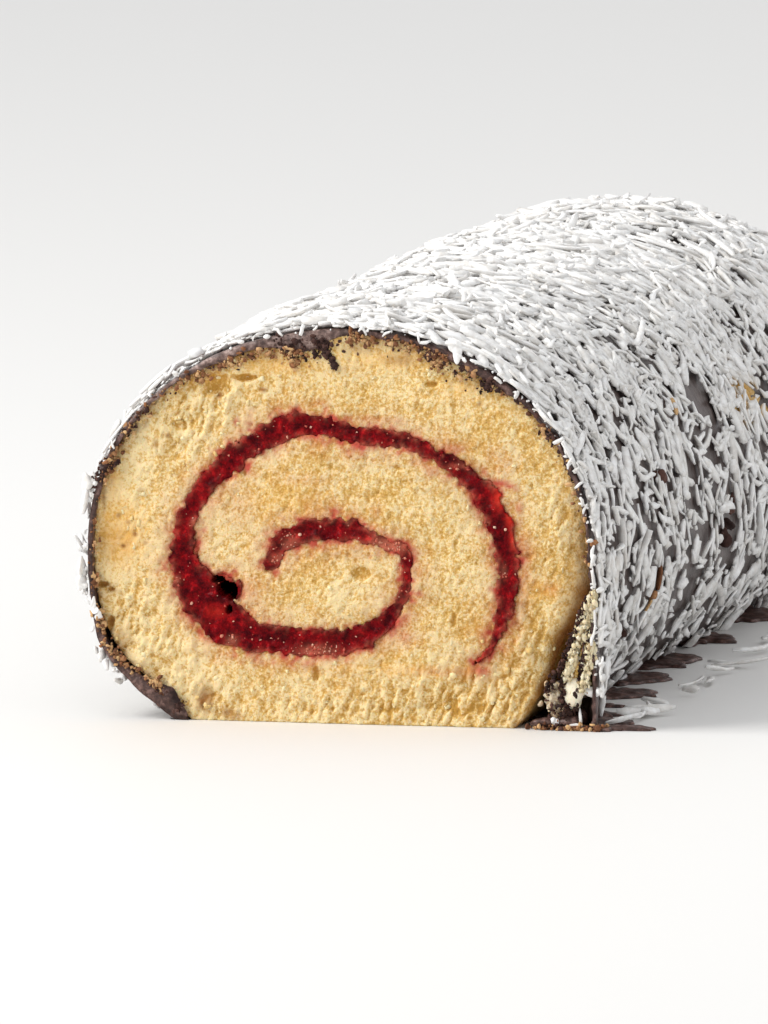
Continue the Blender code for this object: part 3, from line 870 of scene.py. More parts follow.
MIXED_WITH_CRUMB = (  # jam with pale crumb in it
    (9.4, 34.6, 4.2, 1.4, 1.2),
    (-12.5, 31.5, 1.6, 1.2, 0.7),
    (-10.0, 34.5, 1.8, 1.5, 0.6),
    (-4.5, 13.6, 3.6, 1.2, 0.85),
    (-21.5, 15.4, 1.2, 1.0, 0.7),
    (-28.6, 37.8, 0.9, 1.2, 0.8),
    (-32.4, 26.8, 0.9, 0.8, 0.8),
    (31.8, 30.0, 0.6, 1.6, 0.5),
    (22.5, 50.0, 2.0, 0.6, 0.4),
)

print("patches:", sum(map(len, (TOASTED, YELLOW, WARM, BRIGHT_JAM, STAINED, MIXED_WITH_CRUMB))))

# %% [markdown]
# Both foods are built from the same grid by the same function. What differs is the relief and the
# shares that the material reads, and each share is worked out for the whole grid at once.

# %% Build the sponge and the jam
def flattened(values, used, count, rest=0.0):
    """The front points' values, and one value for every point behind them."""
    spread = np.full(count, rest)
    spread[: len(used)] = np.clip(values.ravel()[used], 0, 1)
    return spread


def sunk_below_neighbours(depth, reach):
    """How much deeper a point is than the mean of eight others this many cells away, in millimetres."""
    padded = np.pad(depth, reach, mode="edge")
    steps = [(i, j) for i in (-reach, 0, reach) for j in (-reach, 0, reach) if (i, j) != (0, 0)]
    rows, columns = depth.shape
    around = sum(padded[reach + i: reach + i + rows, reach + j: reach + j + columns] for i, j in steps) / 8
    return (depth - around) / MM


def tints(places):
    """The highest of a list of soft-edged patches at each grid point, made ragged by noise."""
    ragged = 0.75 + 0.5 * rough_noise(GX, GZ, 2.2 * MM, 3, 95)
    return np.max([bell(GX, GZ, place) * place[4] for place in places], axis=0) * ragged


def build_sponge():
    """The sponge, with shares for tone with painted shade in hollows and painted light on the left, amber
    crumb, toasted edges, painted shade at the lower right edge, and jam stain.
    """
    mesh, used = region_solid("rolled_sponge", in_sponge, sponge_depth)
    count = len(mesh.vertices)
    fine, coarse = sunk_below_neighbours(sponge_depth, 2), sunk_below_neighbours(sponge_depth, 6)
    # Painted shade: crumb that sinks below its neighbours, and the pits, are painted deeper gold.
    hollow = 0.32 + 0.8 * fine + 0.45 * coarse + 0.2 * tints([(*pit[:4], 1.0) for pit in PITS])
    # Deeper yellow patches are added; painted light: the left part of the face is painted paler, as the
    # light falls from the left.
    hollow = hollow + 0.25 * tints(YELLOW) - 0.22 * np.clip((-GX - 15 * MM) / (20 * MM), 0, 1)
    top = np.clip((np.sin(face_angle) - 0.8) / 0.15, 0, 1)
    rim = np.exp(np.clip(edge_gap, None, 0) / ((0.9 + 0.9 * top) * MM))
    rim = rim * (0.55 + 0.9 * rough_noise(GX, GZ, 4 * MM, 3, 81))
    # Painted shade: the lower right edge turns away from the light, so the crumb there is painted brown.
    turned = np.exp(-((edge_gap / ((0.9 + 2.9 * height_share()) * MM)) ** 2)) * lower_right()
    turned = turned * (1.05 + 0.35 * rough_noise(GX, GZ, 3 * MM, 3, 83))
    from_jam = np.clip(jam_gap, 0, None)
    spread = np.clip(1.2 + 1.0 * rough_noise(GX, GZ, 6 * MM, 2, 85), 0.25, 2.4) * MM
    halo = np.exp(-from_jam / spread) * (0.85 + 1.3 * rough_noise(GX, GZ, 1.4 * MM, 3, 87))
    wet = np.exp(-from_jam / (2.4 * MM))
    smear = np.clip(wet * (0.1 + 0.7 * rough_noise(GX, GZ, 5 * MM, 4, 90)), 0, 0.4)
    dusty = wet * np.clip(0.3 + 0.9 * rough_noise(GX, GZ, 1.2 * MM, 3, 93), 0, 0.5)
    give_attribute(mesh, "hollow", flattened(hollow, used, count, 0.4))
    give_attribute(mesh, "warm", flattened(0.75 * tints(WARM), used, count))
    # The toast share holds real toast and the painted shade at the lower right edge.
    toast_and_shade = np.maximum(np.maximum(rim, turned), tints(TOASTED) + dusty)
    give_attribute(mesh, "toast_and_shade", flattened(toast_and_shade, used, count, 0.35))
    give_attribute(mesh, "stain", flattened(np.maximum(halo, smear + tints(STAINED)), used, count))
    return add_piece(mesh, SPONGE)


def build_jam():
    """The jam, with shares for crumb at its edge, thin bright film, and painted shade in its deep holes."""
    mesh, used = region_solid("jam_spiral", in_jam, jam_depth)
    count = len(mesh.vertices)
    edge = np.exp(np.clip(jam_gap, None, 0) / (0.4 * MM))
    edge = edge * (0.35 + 0.9 * rough_noise(GX, GZ, 1.6 * MM, 3, 97))
    give_attribute(mesh, "stain", flattened(np.maximum(tints(MIXED_WITH_CRUMB), edge), used, count))
    give_attribute(mesh, "bright", flattened(tints(BRIGHT_JAM), used, count))
    # Painted shade: deeper than 2.2 mm, in the hole, the jam is painted near black.
    give_attribute(mesh, "deep", flattened((jam_depth / MM - 2.2) / 1.5, used, count))
    return add_piece(mesh, JAM)


sponge = build_sponge()
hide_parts("sponge")
jam = build_jam()
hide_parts("jam")

# %% [markdown]
# ## The chocolate coat
#
# The icing is one thin shell, open at the cut and below. Its section is a closed loop, out along the
# outer skin and back along the inner one, and the loop is carried from the cut to the far end, where
# it shrinks to nothing and closes the end. The outer skin has the small runs and ridges of poured
# icing, and at the cut the rim is uneven. A plain surface with Solidify would be shorter, but then
# the relief of the outer skin would show on the inner one too.

# %% The coat's two skins
COAT_ANGLES = 420
COAT_RUNS = np.concatenate([
    np.array([0, 0.35, 0.8, 1.5, 2.5, 4, 6]) * MM,
    np.linspace(8.5 * MM, LENGTH - END_ROUND, 82),
    LENGTH - END_ROUND + END_ROUND * np.linspace(0, np.pi / 2, 9)[1:],
    END_RUN + (HALF_WIDTH - END_ROUND) * np.append(np.linspace(0, 1, 13)[1:-1], 0.998),
])


def coat_points():
    """Outer and inner skins on one grid of runs and angles, joined into closed loops."""
    angle = np.linspace(RIGHT_FOOT, LEFT_FOOT, COAT_ANGLES)[None, :]
    run = COAT_RUNS[:, None]
    arc = angle * GIRTH_RADIUS
    near = np.exp(-run / (1.2 * MM))
    ripple = 0.28 * MM * rough_noise(arc, run, 7 * MM, 3, 101)
    ripple = ripple + 0.10 * MM * rough_noise(arc, run, 1.6 * MM, 2, 105)
    rim_wave = 0.35 * MM * rough_noise(arc, run * 0, 2.2 * MM, 3, 111)
    smear = np.clip(rough_noise(arc, run * 0, 2.6 * MM, 3, 115), 0, 1) * 0.8 * MM
    flow = 1.7 * MM * np.exp(-(((np.degrees(angle) - 225) / 6) ** 2))
    outer = surface(angle, run, 0.1 * MM - ripple + 0.2 * MM * near)
    inner_run = np.minimum(run, END_RUN)
    shrink = np.clip((run - END_RUN) / (HALF_WIDTH - END_ROUND), 0, 1)
    inner = surface(angle, inner_run, coat_thickness(angle) + 0.12 * MM + (smear + flow - 0.1 * MM) * near)
    inner[..., 0] *= 1 - shrink
    inner[..., 2] += (CORE_HEIGHT - inner[..., 2]) * np.where(np.sin(angle) > 0, shrink, 0)
    far_y = surface(0.0, inner_run, END_SKIN)[..., 1]
    inner[..., 1] = np.where(run >= LENGTH - END_ROUND, far_y, inner[..., 1])
    for skin in (outer, inner):
        skin[..., 1] += rim_wave * near
        skin[:, [0, -1], 2] = 0.0
        skin[..., 2] = np.maximum(skin[..., 2], 0.0)
    return np.concatenate([outer, inner[:, ::-1]], axis=1)


def loop_faces(runs, around):
    """Quads between neighbouring closed loops, each loop with this many points."""
    number = np.arange(runs * around).reshape(runs, around)
    after = np.roll(number, -1, axis=1)
    return np.stack([number[:-1], after[:-1], after[1:], number[1:]], axis=-1).reshape(-1, 4)


def rim_faces(around):
    """Quads across the first loop, from each outer point to the inner point below it."""
    outer = np.arange(around // 2 - 1)
    inner = around - 1 - outer
    return np.stack([outer, inner, inner - 1, outer + 1], axis=1)


def weld(mesh, distance):
    """Merge points that meet, as at a seam or a pole, and turn the faces outwards."""
    work = bmesh.new()
    work.from_mesh(mesh)
    bmesh.ops.remove_doubles(work, verts=work.verts, dist=distance)
    bmesh.ops.recalc_face_normals(work, faces=work.faces)
    work.to_mesh(mesh)
    work.free()


loops = coat_points()
print("coat: stations and points round:", loops.shape[:2])

# %% [markdown]
# Thin icing dries satin, not glossy. The rubbing coconut leaves a grey film on it, and the film's grey
# also stands for painted sheen off the outer skin. Where the rim broke at the top of the cut it shows
# pale bloom, painted lighter still as a highlight where it faces the light. Three ramps of noise give
# the three looks, and the mesh says where each of them is.

# %% The chocolate's material, and the coat in it
BARE_TONES = ((0.36, (0.028, 0.011, 0.008)), (0.52, (0.085, 0.042, 0.034)), (0.68, (0.26, 0.15, 0.125)))
# The film's grey is partly coconut film and partly painted sheen off the satin skin.
FILM_AND_SHEEN_TONES = ((0.38, (0.040, 0.024, 0.020)), (0.68, (0.120, 0.090, 0.082)))
# The bloom's pale tones are partly bloom and partly a painted highlight on the lit rim.
BLOOM_AND_HIGHLIGHT_TONES = ((0.36, (0.06, 0.032, 0.026)), (0.52, (0.20, 0.125, 0.105)), (0.66, (0.44, 0.32, 0.28)))


def chocolate_material():
    """Dark icing, satin where it is bare, with the coconut's grey film and painted sheen, and the rim's
    pale bloom with a painted highlight.
    """
    made, tree, shader = new_material("chocolate_icing", 0.42, 0.4)
    bare = ramp(tree, noise(tree, 600, 4, 0.7), *BARE_TONES)
    film_and_sheen_colour = ramp(tree, noise(tree, 260, 4, 0.65), *FILM_AND_SHEEN_TONES)
    bloom = ramp(tree, noise(tree, 800, 4, 0.7), *BLOOM_AND_HIGHLIGHT_TONES)
    colour = mix(tree, attribute(tree, "bloom"), mix(tree, attribute(tree, "film"), bare, film_and_sheen_colour), bloom)
    tree.links.new(colour, shader.inputs["Base Color"])
    bump(tree, shader, noise(tree, 700, 4), 0.0003, 0.7)
    return made


CHOCOLATE = chocolate_material()
coat_mesh = new_mesh(
    "chocolate_coat_skin",
    loops.reshape(-1, 3) + OFFSET,
    loop_faces(len(COAT_RUNS), 2 * COAT_ANGLES),
    rim_faces(2 * COAT_ANGLES),
    rim_faces(2 * COAT_ANGLES)[:, ::-1] + (len(COAT_RUNS) - 1) * 2 * COAT_ANGLES,
)
# Painted sheen: the outer skin's grey film also paints the light it reflects; the fresh rim at the cut
# stays dark.
film_and_sheen_share = np.repeat(np.clip((COAT_RUNS - 0.8 * MM) / (4 * MM), 0, 1), 2 * COAT_ANGLES)
give_attribute(coat_mesh, "film", film_and_sheen_share)
loop_degrees = np.degrees(np.linspace(RIGHT_FOOT, LEFT_FOOT, COAT_ANGLES))
# Painted highlight: the rim at the top and upper left, which faces the light, is lightened with its bloom.
bloom_and_highlight_round = np.clip((loop_degrees - 86) / 8, 0, 1) * np.clip((150 - loop_degrees) / 25, 0, 1)
bloom_and_highlight_round = np.concatenate([bloom_and_highlight_round, bloom_and_highlight_round[::-1]])
give_attribute(coat_mesh, "bloom", (np.exp(-COAT_RUNS / (3 * MM))[:, None] * bloom_and_highlight_round).ravel())
weld(coat_mesh, 0.0005 * MM)
coat = add_piece(coat_mesh, CHOCOLATE)
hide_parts("chocolate_coat")

# %% [markdown]
# ## Ribbons and crumbs by the thousand
#
# Coconut is shredded into thin flat sticks that curl as they dry. Each stick here is a small closed
# box swept along its own curved line, and the lines are drawn on the roll as if its skin were rolled
# out flat: one coordinate round the roll and one along it. Crumbs are small balls with every corner
# pushed in or out. Particles could scatter both, but the export needs plain mesh. So the points of
# all the pieces of a kind are worked out at once.

# %% Sweep a flat stick along each line
def unit(vectors):
    """The same directions with length 1."""
    return vectors / np.maximum(np.linalg.norm(vectors, axis=-1, keepdims=True), 1e-12)


def ribbons(name, lines, normals, width, thick, roll):
    """Each corner is the line's point plus half the width across and half the thickness up, both rolled."""
    tangent = unit(np.gradient(lines, axis=1))
    across = unit(np.cross(tangent, normals))
    up = np.cross(across, tangent)
    cos, sin = np.cos(roll)[..., None], np.sin(roll)[..., None]
    across, up = across * cos + up * sin, up * cos - across * sin
    halves = ((-0.5, -0.5), (0.5, -0.5), (0.5, 0.5), (-0.5, 0.5))
    corners = [lines + (i * width)[..., None] * across + (j * thick)[..., None] * up for i, j in halves]
    points = np.stack(corners, axis=2)
    points[..., 2] = np.maximum(points[..., 2], 0.0)
    number = np.arange(points.size // 3).reshape(points.shape[:3])
    after = np.roll(number, -1, axis=2)
    sides = np.stack([number[:, :-1], number[:, 1:], after[:, 1:], after[:, :-1]], axis=-1)
    ends = np.concatenate([number[:, 0], number[:, -1, ::-1]])
    return new_mesh(name, points.reshape(-1, 3) + OFFSET, sides.reshape(-1, 4), ends)


def roll_chart(arc, run):
    """Point and outward normal of the coat: the normal is along the roll crossed with round it."""
    angle = np.clip(arc / GIRTH_RADIUS, RIGHT_FOOT, LEFT_FOOT)
    step = 0.5 * MM
    along_way = surface(angle, run + step) - surface(angle, run - step)
    round_way = surface(angle + 0.01, run) - surface(angle - 0.01, run)
    return surface(angle, run), unit(np.cross(along_way, round_way))


def end_chart(x, z):
    """Point and normal of the closed far end, which is flat."""
    point = np.stack([x, np.full(x.shape, LENGTH), z], axis=-1)
    return point, np.broadcast_to((0.0, 1.0, 0.0), point.shape)


def shredded(name, chart, places, rng, sizes, stations, layers, headings=(0, np.pi)):
    """Sticks on a chart: a line u from -1 to 1 at a heading, bent sideways by u^2, lifted at one end."""
    count = len(places)
    (short, long), (narrow, wide), (thin, fat) = sizes
    u = np.linspace(-1, 1, stations)[None, :]
    half = rng.uniform(short, long, (count, 1)) * MM / 2
    broad = rng.uniform(narrow, wide, (count, 1)) * MM
    deep = rng.uniform(thin, fat, (count, 1)) * MM
    heading = rng.uniform(*headings, (count, 1))
    bend = rng.normal(0, 0.17, (count, 1)) * half * (u**2 - 0.3)
    bend = bend + rng.normal(0, 0.10, (count, 1)) * half * u**3
    roll = rng.normal(0, 0.55, (count, 1)) + rng.normal(0, 0.35, (count, 1)) * u
    lift = deep / 2 + np.abs(np.sin(roll)) * broad / 2 + rng.uniform(0, layers, (count, 1)) * MM
    tilt = np.abs(rng.normal(0, 0.07, (count, 1)))
    lift = lift + tilt * half * (u * rng.choice((-1, 1), (count, 1)) + 1) ** 2 / 2
    first = places[:, :1] + half * u * np.cos(heading) - bend * np.sin(heading)
    second = places[:, 1:] + half * u * np.sin(heading) + bend * np.cos(heading)
    if chart is roll_chart:
        second += np.maximum(-rng.uniform(0, 1.4, (count, 1)) * MM - second.min(axis=1, keepdims=True), 0)
        low, high = RIGHT_FOOT * GIRTH_RADIUS + 0.6 * MM, LEFT_FOOT * GIRTH_RADIUS - 0.6 * MM
        first += np.maximum(low - first.min(axis=1, keepdims=True), 0)
        first -= np.maximum(first.max(axis=1, keepdims=True) - high, 0)
    points, normals = chart(first, second)
    blunt = 1 - rng.uniform(0.15, 0.6, (count, 1)) * np.abs(u) ** 5
    width = broad * blunt * rng.uniform(0.8, 1.15, (count, stations))
    mesh = ribbons(name, points + lift[..., None] * normals, normals, width, deep * (1 - 0.3 * u**2), roll)
    give_attribute(mesh, "tone", np.repeat(rng.random(count), stations * 4))
    return mesh


# %% Make lumpy balls
def ball_template(fineness):
    """A ball's points and faces: at fineness 1, a cube with its sides cut in four and pushed out."""
    work = bmesh.new()
    if fineness == 1:
        bmesh.ops.create_cube(work, size=1.0)
        bmesh.ops.subdivide_edges(work, edges=work.edges[:], cuts=1, use_grid_fill=True)
    else:
        bmesh.ops.create_icosphere(work, subdivisions=fineness, radius=1.0)
    work.verts.index_update()
    points = unit(np.array([vertex.co[:] for vertex in work.verts]))
    faces = np.array([[vertex.index for vertex in face.verts] for face in work.faces])
    work.free()
    return points, faces


def crumbs(name, centres, sizes, rng, roughness=0.45, fineness=1):
    """Each ball's radius follows four waves across directions of its own, and it is stretched."""
    ball, faces = ball_template(fineness)
    count = len(centres)
    across = unit(rng.normal(size=(count, 4, 3)))
    waves = np.einsum("pk,cwk->cpw", ball, across) * rng.uniform(1.5, 5, (count, 1, 4))
    phases = rng.uniform(0, 2 * np.pi, (count, 1, 4))
    lump = 1 + roughness * np.sin(waves + phases).sum(axis=2, keepdims=True) / 2
    stretch = rng.uniform(0.6, 1.4, (count, 1, 3))
    points = centres[:, None] + np.asarray(sizes).reshape(count, 1, -1) * ball * lump * stretch
    points[..., 2] = np.maximum(points[..., 2], 0.0)
    shifted = faces[None] + (np.arange(count) * len(ball))[:, None, None]
    mesh = new_mesh(name, points.reshape(-1, 3) + OFFSET, shifted.reshape(-1, faces.shape[1]))
    give_attribute(mesh, "tone", np.repeat(rng.random(count), len(ball)))
    return mesh


print("faces of a small and of a large crumb:", [len(ball_template(fineness)[1]) for fineness in (1, 4)])

# %% [markdown]
# ## The coconut
#
# The roll is turned in coconut on its sides and sprinkled thickly on top, so the top is nearly white
# and the sides show chocolate between the shreds, with a few bare patches where nothing stuck.

# %% Where the coconut lies
BARE = (  # angle in degrees and run in millimetres of the middle, and the half-sizes of each bare patch
    (-16.0, 88.0, 12.0, 9.0),
    (27.0, 113.0, 8.0, 10.0),
    (-5.0, 122.0, 10.0, 7.0),
    (-34.0, 60.0, 5.0, 14.0),
    (-8.0, 58.0, 7.0, 4.0),
    (12.0, 178.0, 9.0, 9.0),
    (188.0, 90.0, 11.0, 9.0),
    (205.0, 160.0, 9.0, 12.0),
)
TOP_DENSITY = 0.185
SIDE_DENSITY = 0.056


def coconut_density(angle, run):
    """Shreds in a square millimetre: most on top, fewer down the sides, least on bare patches."""
    degrees = np.degrees(angle)
    away = np.abs(degrees - 95)
    top = np.clip((88 - away) / 50, 0, 1)
    density = SIDE_DENSITY + (TOP_DENSITY - SIDE_DENSITY) * top * top * (3 - 2 * top)
    foot = np.clip((138 - away) / 20, 0.35, 1)
    clumps = 1 + 0.45 * rough_noise(angle * GIRTH_RADIUS, run, 14 * MM, 3, 121)
    bare = sum(np.exp(-(((degrees - a) / w) ** 2) - ((run / MM - r) / h) ** 2) for a, r, w, h in BARE)
    by_the_cut = 1 + 1.1 * np.clip(1 - run / (26 * MM), 0, 1) * np.clip((away - 50) / 30, 0, 1)
    thin_left = 1 - 0.7 * np.clip(1.6 - run / (9 * MM), 0, 1) * np.clip((degrees - 108) / 10, 0, 1)
    thin_low = 1 - 0.75 * np.clip(1.6 - run / (22 * MM), 0, 1) * np.clip((-26 - degrees) / 6, 0, 1)
    return density * foot * clumps * by_the_cut * thin_left * thin_low * np.clip(1 - bare, 0.04, 1)


def scattered(rng, share):
    """Random places over the unrolled skin, kept with a chance that follows the density."""
    low, high, far = RIGHT_FOOT * GIRTH_RADIUS, LEFT_FOOT * GIRTH_RADIUS, END_RUN + 4 * MM
    tries = int((high - low) * far / MM**2 * TOP_DENSITY * 1.5 * share)
    arc, run = rng.uniform(low, high, tries), rng.uniform(0, far, tries)
    kept = rng.random(tries) * TOP_DENSITY * 1.5 < coconut_density(arc / GIRTH_RADIUS, run)
    return np.stack([arc, run], axis=1)[kept]


def end_places(rng, per_square_mm):
    """Random places on the far end, inside its flat part's outline."""
    half_x, half_z = HALF_WIDTH - END_ROUND * 0.7, TOP_RISE - END_ROUND * 0.5
    tries = int(4 * half_x * half_z / MM**2 * per_square_mm)
    x, z = rng.uniform(-half_x, half_x, tries), CORE_HEIGHT + rng.uniform(-half_z, half_z, tries)
    kept = ((x / half_x) ** 2 + ((z - CORE_HEIGHT) / half_z) ** 2 < 1) & (z > 3 * MM)
    return np.stack([x, z], axis=1)[kept]


print("shreds on a square centimetre of the top:", round(100 * float(coconut_density(np.pi / 2, 0.1)), 1))

# %% [markdown]
# Dried coconut is white but not paper-white: each shred has its own shade, along the shred run faint
# fibres, and light that enters it comes out a little further on. So the shade comes from a number
# that each shred carries, the fibres from fine noise, and the glow from light under the skin.

# %% The coconut's material
SHRED_TONES = ((0.0, (0.78, 0.76, 0.73)), (0.25, (0.90, 0.89, 0.87)), (1.0, (0.97, 0.965, 0.955)))
FIBRE_TONES = ((0.35, (0.86, 0.84, 0.82)), (0.6, (1.0, 1.0, 1.0)))


def coconut_material():
    """Dry white coconut: a little light passes through, and each shred has its own shade."""
    made, tree, shader = new_material("dried_coconut", 0.5, 0.4)
    own = ramp(tree, attribute(tree, "tone"), *SHRED_TONES)
    fibre = ramp(tree, noise(tree, 700, 3), *FIBRE_TONES)
    tree.links.new(mix(tree, 1.0, own, fibre, "MULTIPLY"), shader.inputs["Base Color"])
    shader.inputs["Subsurface Weight"].default_value = 0.2
    shader.inputs["Subsurface Radius"].default_value = (1.0, 0.95, 0.9)
    shader.inputs["Subsurface Scale"].default_value = 0.0008
    bump(tree, shader, noise(tree, 1500, 3), 0.0002, 0.5)
    return made


COCONUT = coconut_material()

# %% [markdown]
# The shredder leaves long sticks, short flakes and small bits, so each is a piece of its own. The
# long ones on top lie loosely over each other, and those on the sides are pressed flat, so the two
# get different heights above the icing.

# %% Lay the coconut
LONG_SHREDS = ((4.0, 12.0), (0.8, 1.6), (0.4, 0.7))  # millimetres: lengths, widths and thicknesses
FLAKES = ((2.2, 6.0), (0.9, 1.9), (0.4, 0.75))
BITS = ((1.0, 3.0), (0.4, 1.0), (0.3, 0.5))


def lay_coconut(rng, name, chart, places, sizes, stations, layers, headings=(0, np.pi)):
    """One kind of coconut as a piece, each shred lying up to this many millimetres high."""
    mesh = shredded(name, chart, places, rng, sizes, stations, layers, headings)
    add_piece(mesh, COCONUT, smooth=False)


rng = np.random.default_rng(2024)
places = scattered(rng, 0.62)
on_top = np.abs(np.degrees(places[:, 0] / GIRTH_RADIUS) - 95) < 50
lay_coconut(rng, "coconut_top", roll_chart, places[on_top], LONG_SHREDS, 6, 1.2)
lay_coconut(rng, "coconut_sides", roll_chart, places[~on_top], LONG_SHREDS, 6, 0.4)
lay_coconut(rng, "coconut_flakes", roll_chart, scattered(rng, 0.62), FLAKES, 4, 0.9)
lay_coconut(rng, "coconut_bits", roll_chart, scattered(rng, 0.6), BITS, 3, 0.8)
lay_coconut(rng, "coconut_end", end_chart, end_places(rng, 0.09), LONG_SHREDS, 6, 0.6)

# %% [markdown]
# ## Crumbs, torn crust and run-out chocolate
#
# The knife pulled brown crust crumbs out along the rim and dropped pale ones on the face and on the
# wet jam; on the jam their pale tones also stand in as painted glints. At the lower right the loose
# coat carries a torn strip of sponge with larger crumbs caught below it. Along the foot the icing ran
# out into small flat tongues before it set.

# %% Crumb materials
def crumb_material(name, *stops):
    """Crumbs: a colour for each by its own random tone, broken up by fine noise."""
    made, tree, shader = new_material(name, 0.8, 0.3)
    tone = math_node(tree, "MULTIPLY", attribute(tree, "tone"), 0.6)
    tone = math_node(tree, "ADD", tone, math_node(tree, "MULTIPLY", noise(tree, 1100, 3), 0.4))
    tree.links.new(ramp(tree, tone, *stops), shader.inputs["Base Color"])
    shader.inputs["Subsurface Weight"].default_value = 0.15
    shader.inputs["Subsurface Radius"].default_value = (1.0, 0.6, 0.3)
    shader.inputs["Subsurface Scale"].default_value = 0.0008
    bump(tree, shader, noise(tree, 1800, 3), 0.0003, 0.8)
    return made


CHOCOLATE_BIT = crumb_material(
    "chocolate_bit", (0.2, (0.020, 0.007, 0.005)), (0.6, (0.060, 0.026, 0.020)), (0.9, (0.13, 0.06, 0.045))
)
CRUST = crumb_material(
    "brown_crust", (0.15, (0.07, 0.024, 0.013)), (0.42, (0.30, 0.125, 0.052)), (0.8, (0.70, 0.44, 0.21))
)
PALE_CRUMB = crumb_material(
    "pale_crumb", (0.2, (0.76, 0.52, 0.20)), (0.6, (0.88, 0.72, 0.40)), (0.95, (0.90, 0.78, 0.50))
)
STRIP_CRUMB = crumb_material(
    "strip_crumb", (0.12, (0.32, 0.20, 0.10)), (0.35, (0.74, 0.60, 0.36)), (0.75, (0.90, 0.81, 0.60))
)
CREAM_CRUMB = crumb_material(
    "cream_crumb", (0.2, (0.84, 0.72, 0.50)), (0.5, (0.90, 0.82, 0.64)), (0.9, (0.93, 0.87, 0.72))
)
GREY_CRUMB = crumb_material(
    "grey_crumb", (0.15, (0.20, 0.12, 0.08)), (0.4, (0.62, 0.47, 0.30)), (0.85, (0.86, 0.76, 0.60))
)
# Pale tones of the crumbs on the jam also stand in as painted glints.
JAM_CRUMB_AND_GLINT = crumb_material(
    "jam_crumb_and_glint", (0.2, (0.45, 0.04, 0.03)), (0.5, (0.66, 0.22, 0.14)), (0.9, (0.82, 0.58, 0.44))
)

# %% [markdown]
# Among the coconut a few slivers of amber crust and lumps of dark icing show. They are so few that
# their places are listed one by one, in degrees round the roll and millimetres along it.

# %% A few slivers of crust and dark lumps among the coconut
AMBER_PLACES = ((-10.0, 57.0), (-15.0, 56.0), (-18.0, 52.0), (28.0, 96.0), (199.0, 120.0))
DARK_PLACES = (
    (-5.0, 120.0),
    (-2.5, 122.0),
    (-8.0, 117.0),
    (0.5, 125.0),
    (-6.0, 123.0),
    (-20.0, 34.0),
    (14.0, 66.0),
    (190.0, 70.0),
)
SLIVERS = ((3, 6), (0.9, 1.5), (0.5, 0.8))  # millimetres: lengths, widths and thicknesses


def skin_places(places):
    """Angle in degrees and run in millimetres turned into the unrolled skin's own measures."""
    angle, run = np.array(places).T
    return np.stack([np.radians(angle) * GIRTH_RADIUS, run * MM], axis=1)


amber_places = skin_places(AMBER_PLACES)
amber = shredded("crust_slivers", roll_chart, amber_places, rng, SLIVERS, 6, 0.4, (-0.2, 0.2))
add_piece(amber, CRUST, smooth=False)
lump_places, lump_normals = roll_chart(*skin_places(DARK_PLACES).T)
lump_places = lump_places + 0.3 * MM * lump_normals
lump_sizes = rng.uniform(0.6, 1.3, len(lump_places)) * MM
lumps = crumbs("dark_lumps", lump_places, lump_sizes, rng, 0.6, 3)
add_piece(lumps, CHOCOLATE_BIT)

# %% [markdown]
# The crumbs on the cut have to lie on its relief, or they would float or sink. So each one picks a
# point of the grid, with a chance that follows a weight for each point, and takes that point's depth.
# Along the rim each picks an angle instead, and prefers the angles where noise has its peaks, because
# real crumbs cling in clusters.

# %% Crumbs on the face and along the rim
def face_places(rng, weight, count, sink):
    """Places on the cut's relief, drawn with chances that follow a weight for each grid point."""
    chance = np.clip(weight, 0, None).ravel()
    picked = rng.choice(chance.size, count, p=chance / chance.sum())
    depth = np.where(in_jam < 0, jam_depth, sponge_depth).ravel()[picked]
    jitter = rng.uniform(-0.5, 0.5, (2, count)) * CELL
    return np.stack([GX.ravel()[picked] + jitter[0], depth + sink, GZ.ravel()[picked] + jitter[1]], axis=1)


def power_sizes(rng, count, smallest, largest):
    """Radii between two sizes in millimetres, with many small ones and few large."""
    return (smallest + (largest - smallest) * rng.random(count) ** 2.5) * MM


def rim_places(rng, spans, count):
    """Places just inside the coat's rim, in spans of angle, with the share of the crumbs each span gets."""
    shares = np.array([span[2] for span in spans])
    pick = rng.choice(len(spans), count, p=shares / shares.sum())
    low, high = np.array([span[:2] for span in spans])[pick].T
    tries = np.radians(rng.uniform(low, high, (12, count)))
    peak = smooth_noise(tries * 14, 0 * tries, 151).argmax(axis=0)
    angle = np.take_along_axis(tries, peak[None], axis=0)[0]
    angle = np.where(rng.random(count) < 0.5, angle, tries[0])
    inwards = coat_thickness(angle) + rng.normal(0.3, 0.55, count) * MM
    inwards += rng.exponential(0.55, count) * MM * (np.sin(angle) > 0.8)
    point = surface(angle, np.zeros(count), inwards, skirt=False)
    point[:, 1] = rng.uniform(-0.3, 0.6, count) * MM
    point[:, 2] = np.maximum(point[:, 2], 0.4 * MM)
    return point


RIM_SPANS = (  # from one angle to another in degrees, and each span's share of the crumbs
    (97, 128, 5.0),
    (64, 84, 3.0),
    (55, 88, 3.0),
    (128, 160, 2.6),
    (160, 225, 1.5),
    (196, 222, 2.2),
    (0, 55, 1.6),
)
RIM_COUNT, FACE_COUNT, JAM_COUNT = 1250, 800, 260
crag_weight = sum(bell(GX, GZ, place) * place[4] for place in CRAGS)
whole = in_sponge < -0.3 * MM
inner_jam = in_jam < -0.3 * MM
pale = np.where(whole, 0.12 + crag_weight + 0.5 * np.exp(-GZ / (6 * MM)), 0.0)
clusters = sum(bell(GX, GZ, place) * place[4] for place in MIXED_WITH_CRUMB)
pale_on_jam = np.where(inner_jam & (jam_depth < 2 * MM), 0.05 + 2.0 * clusters, 0)
rng = np.random.default_rng(77)
places = rim_places(rng, RIM_SPANS, RIM_COUNT)
sizes = power_sizes(rng, RIM_COUNT, 0.12, 0.55)
add_piece(crumbs("crust_crumbs", places, sizes, rng, 0.55), CRUST)
places = face_places(rng, pale, FACE_COUNT, 0.2 * MM)
